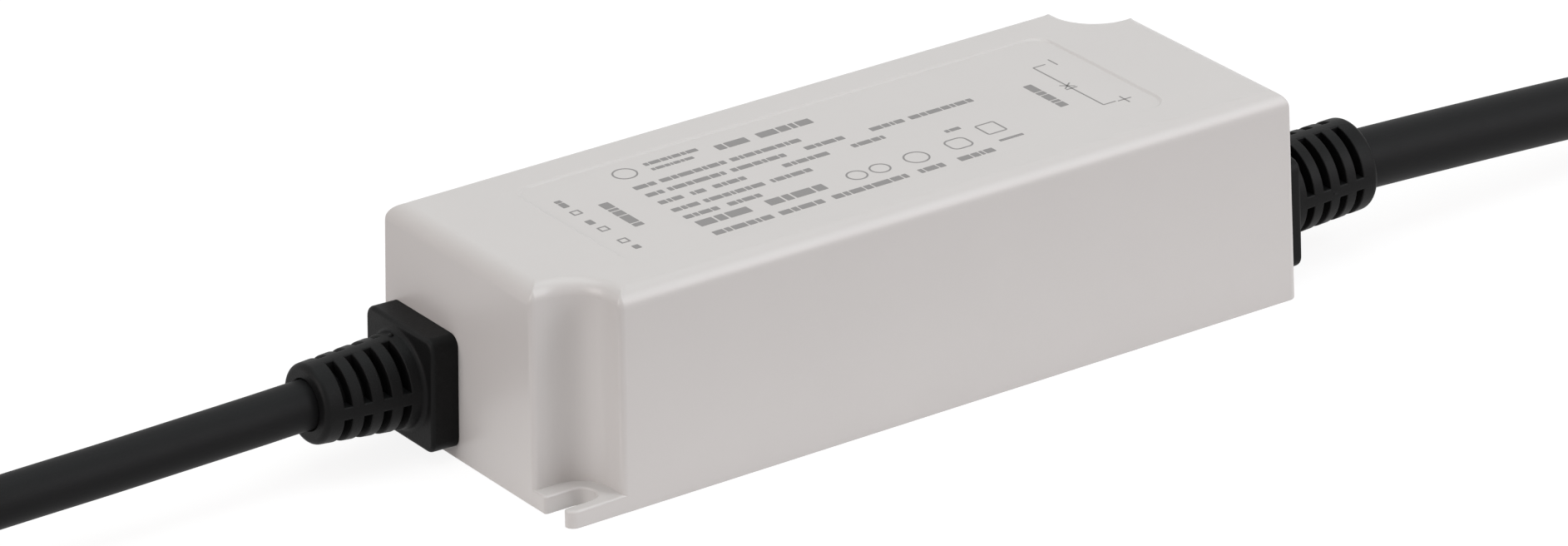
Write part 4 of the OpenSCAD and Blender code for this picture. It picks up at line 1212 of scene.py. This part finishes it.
@dataclass
class Print:
    """Plain grey marks in the recess: dashes, rings, frames and polarity signs.

    Places are in millimetres from the left end and from the front side.
    """

    thickness: float = 0.02
    sink: float = 0.01
    stroke: float = 0.31
    line_stroke: float = 0.27
    line_r: float = 0.08
    least_r: float = 0.04
    pitch: float = 1.3
    gap: float = 0.17
    dash_r: float = 0.12
    small_steps: int = 2
    frame_steps: int = 8
    lengths: Sequence[float] = (1.4, 0.8, 1.8, 1.1, 0.6)
    bars: Sequence[tuple[float, float, Sequence[Pair]]] = (
        # Middle line and height of a row, then each bar's start and end
        (38.3, 2.0, ((54.0, 60.2), (61.9, 72.4))),
        (33.1, 1.3, ((35.0, 39.2), (39.9, 52.4), (53.2, 66.6))),
        (29.7, 1.3, ((35.0, 38.4), (39.1, 50.0), (51.0, 61.4), (65.0, 72.6))),
        (29.5, 1.3, ((77.4, 84.0), (85.0, 97.4))),
        (26.2, 1.3, ((35.0, 39.6), (41.0, 43.8), (45.2, 51.4), (58.4, 67.2))),
        (26.0, 1.3, ((71.4, 77.8),)),
        (22.6, 1.3, ((35.0, 40.2), (41.0, 52.4), (53.6, 61.4))),
        (19.3, 1.3, ((35.0, 41.6), (43.2, 49.6))),
        (16.0, 2.2, ((35.2, 45.2), (48.2, 59.4))),
        (11.6, 1.5, ((35.2, 46.4), (47.6, 56.0), (57.6, 72.0), (74.0, 79.0), (81.6, 88.6))),
        (39.8, 1.1, ((41.4, 51.6),)),
        (37.6, 0.9, ((41.4, 49.4),)),
        (21.7, 1.0, ((86.3, 89.3),)),
    )
    upright_bars: Sequence[tuple[float, float, Sequence[Pair]]] = (
        # The same for bars that run from the front to the back
        (28.1, 1.8, ((20.9, 31.6),)),
        (107.5, 1.6, ((18.4, 28.9),)),
        (22.9, 1.2, ((33.4, 36.6),)),
        (22.6, 1.2, ((25.7, 27.6),)),
        (23.2, 1.2, ((14.0, 15.6),)),
    )
    frames: Sequence[tuple[float, float, float, float, float]] = (
        # Middle from the left and from the front, length, width and corner radius
        (22.9, 31.0, 1.7, 1.7, 0.15), (22.9, 23.4, 1.7, 1.7, 0.15), (22.9, 17.9, 1.7, 1.7, 0.15),
        (65.6, 16.4, 3.6, 3.6, 1.79), (70.0, 16.4, 3.6, 3.6, 1.79), (77.0, 16.4, 4.4, 4.4, 2.19),
        (85.4, 16.8, 4.2, 4.0, 1.3), (93.0, 18.6, 3.8, 4.2, 0.5), (93.4, 13.7, 4.6, 0.7, 0.1),
        (37.2, 38.8, 4.2, 4.2, 2.09),
    )
    lines: Sequence[tuple[Pair, Pair]] = (
        # Output wiring: the long line and its two ends
        ((112.6, 33.9), (112.6, 15.2)),
        ((112.6, 33.9), (115.0, 33.9)),
        ((112.6, 15.2), (115.0, 15.2)),
        # The minus and the plus sign
        ((116.5, 35.2), (116.5, 32.6)),
        ((116.6, 16.4), (116.6, 13.6)),
        ((115.3, 15.0), (117.9, 15.0)),
        # The cross and the bar on the long line
        ((111.6, 24.0), (113.6, 25.6)),
        ((113.6, 24.0), (111.6, 25.6)),
        ((111.5, 23.6), (113.7, 23.6)),
    )

    def dashes(self, start: float, end: float, height: float) -> list[Pair]:
        """Splits a bar into plain dashes of uneven length.

        Args:
            start: where the bar starts.
            end: where it ends.
            height: its height, which sets how long the dashes are.

        Returns:
            Each dash's middle and length along the bar.
        """
        count = max(round((end - start) / (self.pitch * height)), 1)
        order = [(k + round(start)) % len(self.lengths) for k in range(count)]
        scale = (end - start) / sum(self.lengths[k] for k in order)
        made, at = [], start
        for which in order:
            room = self.lengths[which] * scale
            made.append((at + room / 2, room - self.gap * height))
            at += room
        return made

    def build(self, housing: Housing) -> None:
        """Makes the print as one thin piece.

        Args:
            housing: the housing whose recess holds it.
        """
        floor = housing.height - housing.recess_depth
        marks = Draft()
        low, high = floor - self.sink, floor + self.thickness

        def place(flat: Iterable[Pair], x: float, y: float) -> list[Pair]:
            """Moves an outline to its place on the top."""
            return [(px + x - housing.length / 2, py + y - housing.width / 2) for px, py in flat]

        for y, height, spans in self.bars:
            for middle, length in [d for span in spans for d in self.dashes(*span, height)]:
                dash = rounded_box(length, height, self.dash_r, self.small_steps)
                marks.prism(place(dash, middle, y), low, high)
        for x, height, spans in self.upright_bars:
            for middle, length in [d for span in spans for d in self.dashes(*span, height)]:
                dash = rounded_box(height, length, self.dash_r, self.small_steps)
                marks.prism(place(dash, x, middle), low, high)
        for x, y, length, width, r in self.frames:
            outer = place(rounded_box(length, width, r, self.frame_steps), x, y)
            inner = place(rounded_box(length - 2 * self.stroke, width - 2 * self.stroke,
                                      max(r - self.stroke, self.least_r), self.frame_steps), x, y)
            marks.loft([[(px, py, low) for px, py in outer], [(px, py, high) for px, py in outer],
                        [(px, py, high) for px, py in inner], [(px, py, low) for px, py in inner]],
                       closed=True)
        for (x0, y0), (x1, y1) in self.lines:
            along = math.hypot(x1 - x0, y1 - y0)
            turn = Matrix.Rotation(math.atan2(y1 - y0, x1 - x0), 2)
            flat = [tuple(turn @ Vector(p))
                    for p in rounded_box(along, self.line_stroke, self.line_r, self.small_steps)]
            marks.prism(place(flat, (x0 + x1) / 2, (y0 + y1) / 2), low, high)
        piece = marks.piece("top_print")
        piece.data.materials.append(PRINT_FINISH.material("grey_print"))
        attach(piece, BODY)
        log.info("top_print: %d faces", len(piece.data.polygons))


# Camera, floor and lights


@dataclass(frozen=True)
class Softbox:
    """One soft area lamp that points at the housing."""

    name: str
    place: Triple
    size: Pair
    power: float
    color: Triple = (1.0, 1.0, 1.0)
    target: Triple = (0.0, 0.0, 0.02)

    def build(self) -> None:
        """Adds the lamp."""
        data = bpy.data.lights.new(self.name, "AREA")
        data.shape, data.size, data.size_y, data.energy = "RECTANGLE", *self.size, self.power
        data.color = self.color
        lamp = bpy.data.objects.new(self.name, data)
        way = Vector(self.target) - Vector(self.place)
        turn = way.to_track_quat("-Z", "Y").to_matrix().to_4x4()
        lamp.matrix_world = Matrix.Translation(self.place) @ turn
        bpy.context.scene.collection.objects.link(lamp)


@dataclass
class Studio:
    """Camera of the photograph's view, a white floor and soft lamps."""

    lens: float = 193.78
    sensor: float = 36.0
    clip: Pair = (0.01, 60.0)
    place: Triple = (-0.6936, -0.9927, 0.5637)
    azimuth: float = 55.51
    down: float = 24.40
    roll: float = 1.184
    floor_half: float = 12.0
    floor_depth: float = 0.02
    floor_glow: float = 0.88
    floor_seen: Triple = (0.20, 0.20, 0.20)
    card_shift: Triple = (-0.024, 0.05, 0.0)
    card_scale: Triple = (0.6, 1.0, 0.0)
    card_reach: Pair = (0.05, 0.22)
    card_tones: Pair = (0.92, 0.20)
    world_level: float = 1.0
    world_color: Triple = (0.307, 0.252, 0.242)
    world_seen: Triple = (1.0, 1.0, 1.0)
    softboxes: Sequence[Softbox] = (
        Softbox("overhead", (0.0, 0.1, 1.7), (1.8, 1.4), 13.2, (0.88, 0.99, 1.0)),
        Softbox("front_right", (1.1, -1.5, 0.75), (1.0, 0.8), 10.3, (1.0, 0.96, 0.985)),
        Softbox("front_high", (0.9, -1.0, 1.2), (0.8, 0.8), 7.3, (0.93, 0.98, 1.0)),
        Softbox("left", (-1.6, 0.1, 0.7), (0.9, 0.9), 10.8, (1.0, 0.95, 0.94)),
    )

    def camera(self) -> None:
        """Places the camera."""
        az, el, roll = (math.radians(a) for a in (self.azimuth, self.down, self.roll))
        way = Vector((math.cos(el) * math.cos(az), math.cos(el) * math.sin(az), -math.sin(el)))
        level = Vector((math.sin(az), -math.cos(az), 0))
        upright = level.cross(way)
        right = math.cos(roll) * level - math.sin(roll) * upright
        up = math.cos(roll) * upright + math.sin(roll) * level
        data = bpy.data.cameras.new("camera")
        data.lens, data.sensor_width, data.sensor_fit = self.lens, self.sensor, "HORIZONTAL"
        data.clip_start, data.clip_end = self.clip
        made = bpy.data.objects.new("camera", data)
        turn = Matrix((right, up, -way)).transposed().to_4x4()
        made.matrix_world = Matrix.Translation(self.place) @ turn
        bpy.context.scene.collection.objects.link(made)
        bpy.context.scene.camera = made

    def floor(self) -> None:
        """Lays a pale floor that the camera sees as white under a soft shadow."""
        half, depth = self.floor_half / MM, self.floor_depth / MM
        corners = [(-half, -half), (half, -half), (half, half), (-half, half)]
        piece = Draft().prism(corners, -depth, 0.0).piece("floor")
        made = bpy.data.materials.new("floor")
        made.use_nodes = True
        nodes, links = made.node_tree.nodes, made.node_tree.links
        nodes.clear()
        paper = nodes.new("ShaderNodeBsdfDiffuse")
        self._card(nodes, links, paper)
        seen = nodes.new("ShaderNodeBsdfDiffuse")
        seen.inputs["Color"].default_value = (*self.floor_seen, 1.0)
        glow = nodes.new("ShaderNodeEmission")
        glow.inputs["Strength"].default_value = self.floor_glow
        both = nodes.new("ShaderNodeAddShader")
        choose = nodes.new("ShaderNodeMixShader")
        out = nodes.new("ShaderNodeOutputMaterial")
        links.new(seen.outputs[0], both.inputs[0])
        links.new(glow.outputs[0], both.inputs[1])
        links.new(self._direct_rays(nodes, links), choose.inputs[0])
        links.new(paper.outputs[0], choose.inputs[1])
        links.new(both.outputs[0], choose.inputs[2])
        links.new(choose.outputs[0], out.inputs["Surface"])
        piece.data.materials.append(made)

    def _card(
        self, nodes: bpy.types.Nodes, links: bpy.types.NodeLinks, paper: bpy.types.Node
    ) -> None:
        """Makes the floor throw back more light near the object than far from it.

        Args:
            nodes: the floor material's nodes.
            links: its links.
            paper: the diffuse shader whose colour this sets.
        """
        place = nodes.new("ShaderNodeTexCoord")
        squeeze = nodes.new("ShaderNodeMapping")
        squeeze.inputs["Location"].default_value = self.card_shift
        squeeze.inputs["Scale"].default_value = self.card_scale
        far = nodes.new("ShaderNodeVectorMath")
        far.operation = "LENGTH"
        fade = nodes.new("ShaderNodeMapRange")
        fade.interpolation_type = "SMOOTHSTEP"
        ends = zip(("From Min", "From Max", "To Min", "To Max"), self.card_reach + self.card_tones)
        for name, value in ends:
            fade.inputs[name].default_value = value
        links.new(place.outputs["Object"], squeeze.inputs["Vector"])
        links.new(squeeze.outputs["Vector"], far.inputs[0])
        links.new(far.outputs["Value"], fade.inputs["Value"])
        links.new(fade.outputs["Result"], paper.inputs["Color"])

    def _direct_rays(
        self, nodes: bpy.types.Nodes, links: bpy.types.NodeLinks
    ) -> bpy.types.NodeSocket:
        """Picks out the rays of the camera, of mirror images and of sight through glass.

        Args:
            nodes: the nodes of the floor's material or of the world.
            links: their links.

        Returns:
            A value of 1 for such rays and of 0 for those that only carry light.
        """
        rays = nodes.new("ShaderNodeLightPath")
        value = rays.outputs["Is Camera Ray"]
        for name in ("Is Glossy Ray", "Is Transmission Ray"):
            either = nodes.new("ShaderNodeMath")
            either.operation = "MAXIMUM"
            links.new(value, either.inputs[0])
            links.new(rays.outputs[name], either.inputs[1])
            value = either.outputs[0]
        return value

    def world(self) -> None:
        """Makes the surroundings a soft fill light that the camera sees as white."""
        made = bpy.data.worlds.new("world")
        bpy.context.scene.world = made
        made.use_nodes = True
        nodes, links = made.node_tree.nodes, made.node_tree.links
        nodes.clear()
        fill = nodes.new("ShaderNodeBackground")
        fill.inputs["Strength"].default_value = self.world_level
        fill.inputs["Color"].default_value = (*self.world_color, 1.0)
        white = nodes.new("ShaderNodeBackground")
        white.inputs["Color"].default_value = (*self.world_seen, 1.0)
        choose = nodes.new("ShaderNodeMixShader")
        out = nodes.new("ShaderNodeOutputWorld")
        links.new(self._direct_rays(nodes, links), choose.inputs[0])
        links.new(fill.outputs[0], choose.inputs[1])
        links.new(white.outputs[0], choose.inputs[2])
        links.new(choose.outputs[0], out.inputs["Surface"])

    def build(self) -> None:
        """Sets up the whole studio."""
        self.camera()
        self.floor()
        self.world()
        for softbox in self.softboxes:
            softbox.build()
        bpy.context.scene.view_settings.view_transform = "Standard"


# Putting it together


def make_glands() -> tuple[Gland, Gland]:
    """Sets out the two glands.

    Returns:
        The input gland on the left end and the output gland on the right end.
    """
    left = Gland("left_gland", "input_gland", side=-1, y=14.0, z=11.4, rise=0.1, cable_d=8.0,
                 root_d=15.6, tip_d=13.0, pip=(6.2, math.pi, 7.7))
    right = Gland("right_gland", "output_gland", side=1, y=-12.3, z=11.7, rise=0.65,
                  cable_d=10.1, root_d=16.1, tip_d=15.6, pip=(12.7, -math.pi / 2, 7.6))
    return left, right


def make_cables(left: Gland, right: Gland) -> list[Cable]:
    """Sets out the two cables with their routes.

    Args:
        left: the gland of the input cable.
        right: the gland of the output cable.

    Returns:
        The cables.
    """
    length, spacing, input_core_d, output_core_d = 0.170, 0.15, 2.6, 3.4
    around = (input_core_d + spacing) / math.sqrt(3)
    sideways = around * math.cos(math.pi / 6)
    beside = (output_core_d + spacing) / 2
    return [
        Cable(
            "left_cable", "input_cable", "left_wire_tips", "input_core_tips",
            left, left.cable_d, input_core_d,
            ((9, 0, 12), (22, 0, 11.8), (36, 0, 11.6), (51, 0, 11.5), (62, 0.4, 11.1),
             (74, 1.2, 10.1), (86, 2.5, 8.7), (98, 4.1, 7.2), (110, 6.2, 5.7), (122, 8.2, 4.6),
             (134, 10.3, 4), (145, 11.9, 3.9), (155, 13.2, 3.9), (163, 14, 3.9)),
            (Core("live_core", "live_core_end", "brown_insulation", -sideways, -around / 2, -4),
             Core("neutral_core", "neutral_core_end", "blue_insulation", sideways, -around / 2, 4),
             Core("earth_core", "earth_core_end", "green_insulation", 0, around, 0)),
            length, spacing,
        ),
        Cable(
            "right_cable", "output_cable", "right_wire_tips", "output_core_tips",
            right, right.cable_d, output_core_d,
            ((8, 0, 12.7), (21, 0, 12), (35, 0, 11.2), (49, 0, 10.3), (61, 0.4, 9.4),
             (73, 1.2, 8.4), (85, 2.5, 7.4), (97, 4.1, 6.4), (109, 6.2, 5.6), (121, 8.2, 5.1),
             (133, 10.3, 5), (144, 11.9, 5), (154, 13.2, 5), (163, 14, 5)),
            (Core("positive_core", "positive_core_end", "red_insulation", -beside, 0, -3),
             Core("negative_core", "negative_core_end", "black_insulation", beside, 0, 3)),
            length, spacing,
        ),
    ]


def main() -> None:
    """Builds the camera and the cables first, then every other piece."""
    logging.basicConfig(level=logging.INFO, format="%(message)s")
    palette, housing = Palette(), Housing()
    left, right = make_glands()
    Studio().build()
    for cable in make_cables(left, right):
        cable.build(housing, palette)
    housing.build(palette, [left, right])
    for gland in (left, right):
        gland.build(housing, palette)
    Print().build(housing)
    palette.dress_circuit()


if __name__ == "__main__":
    main()
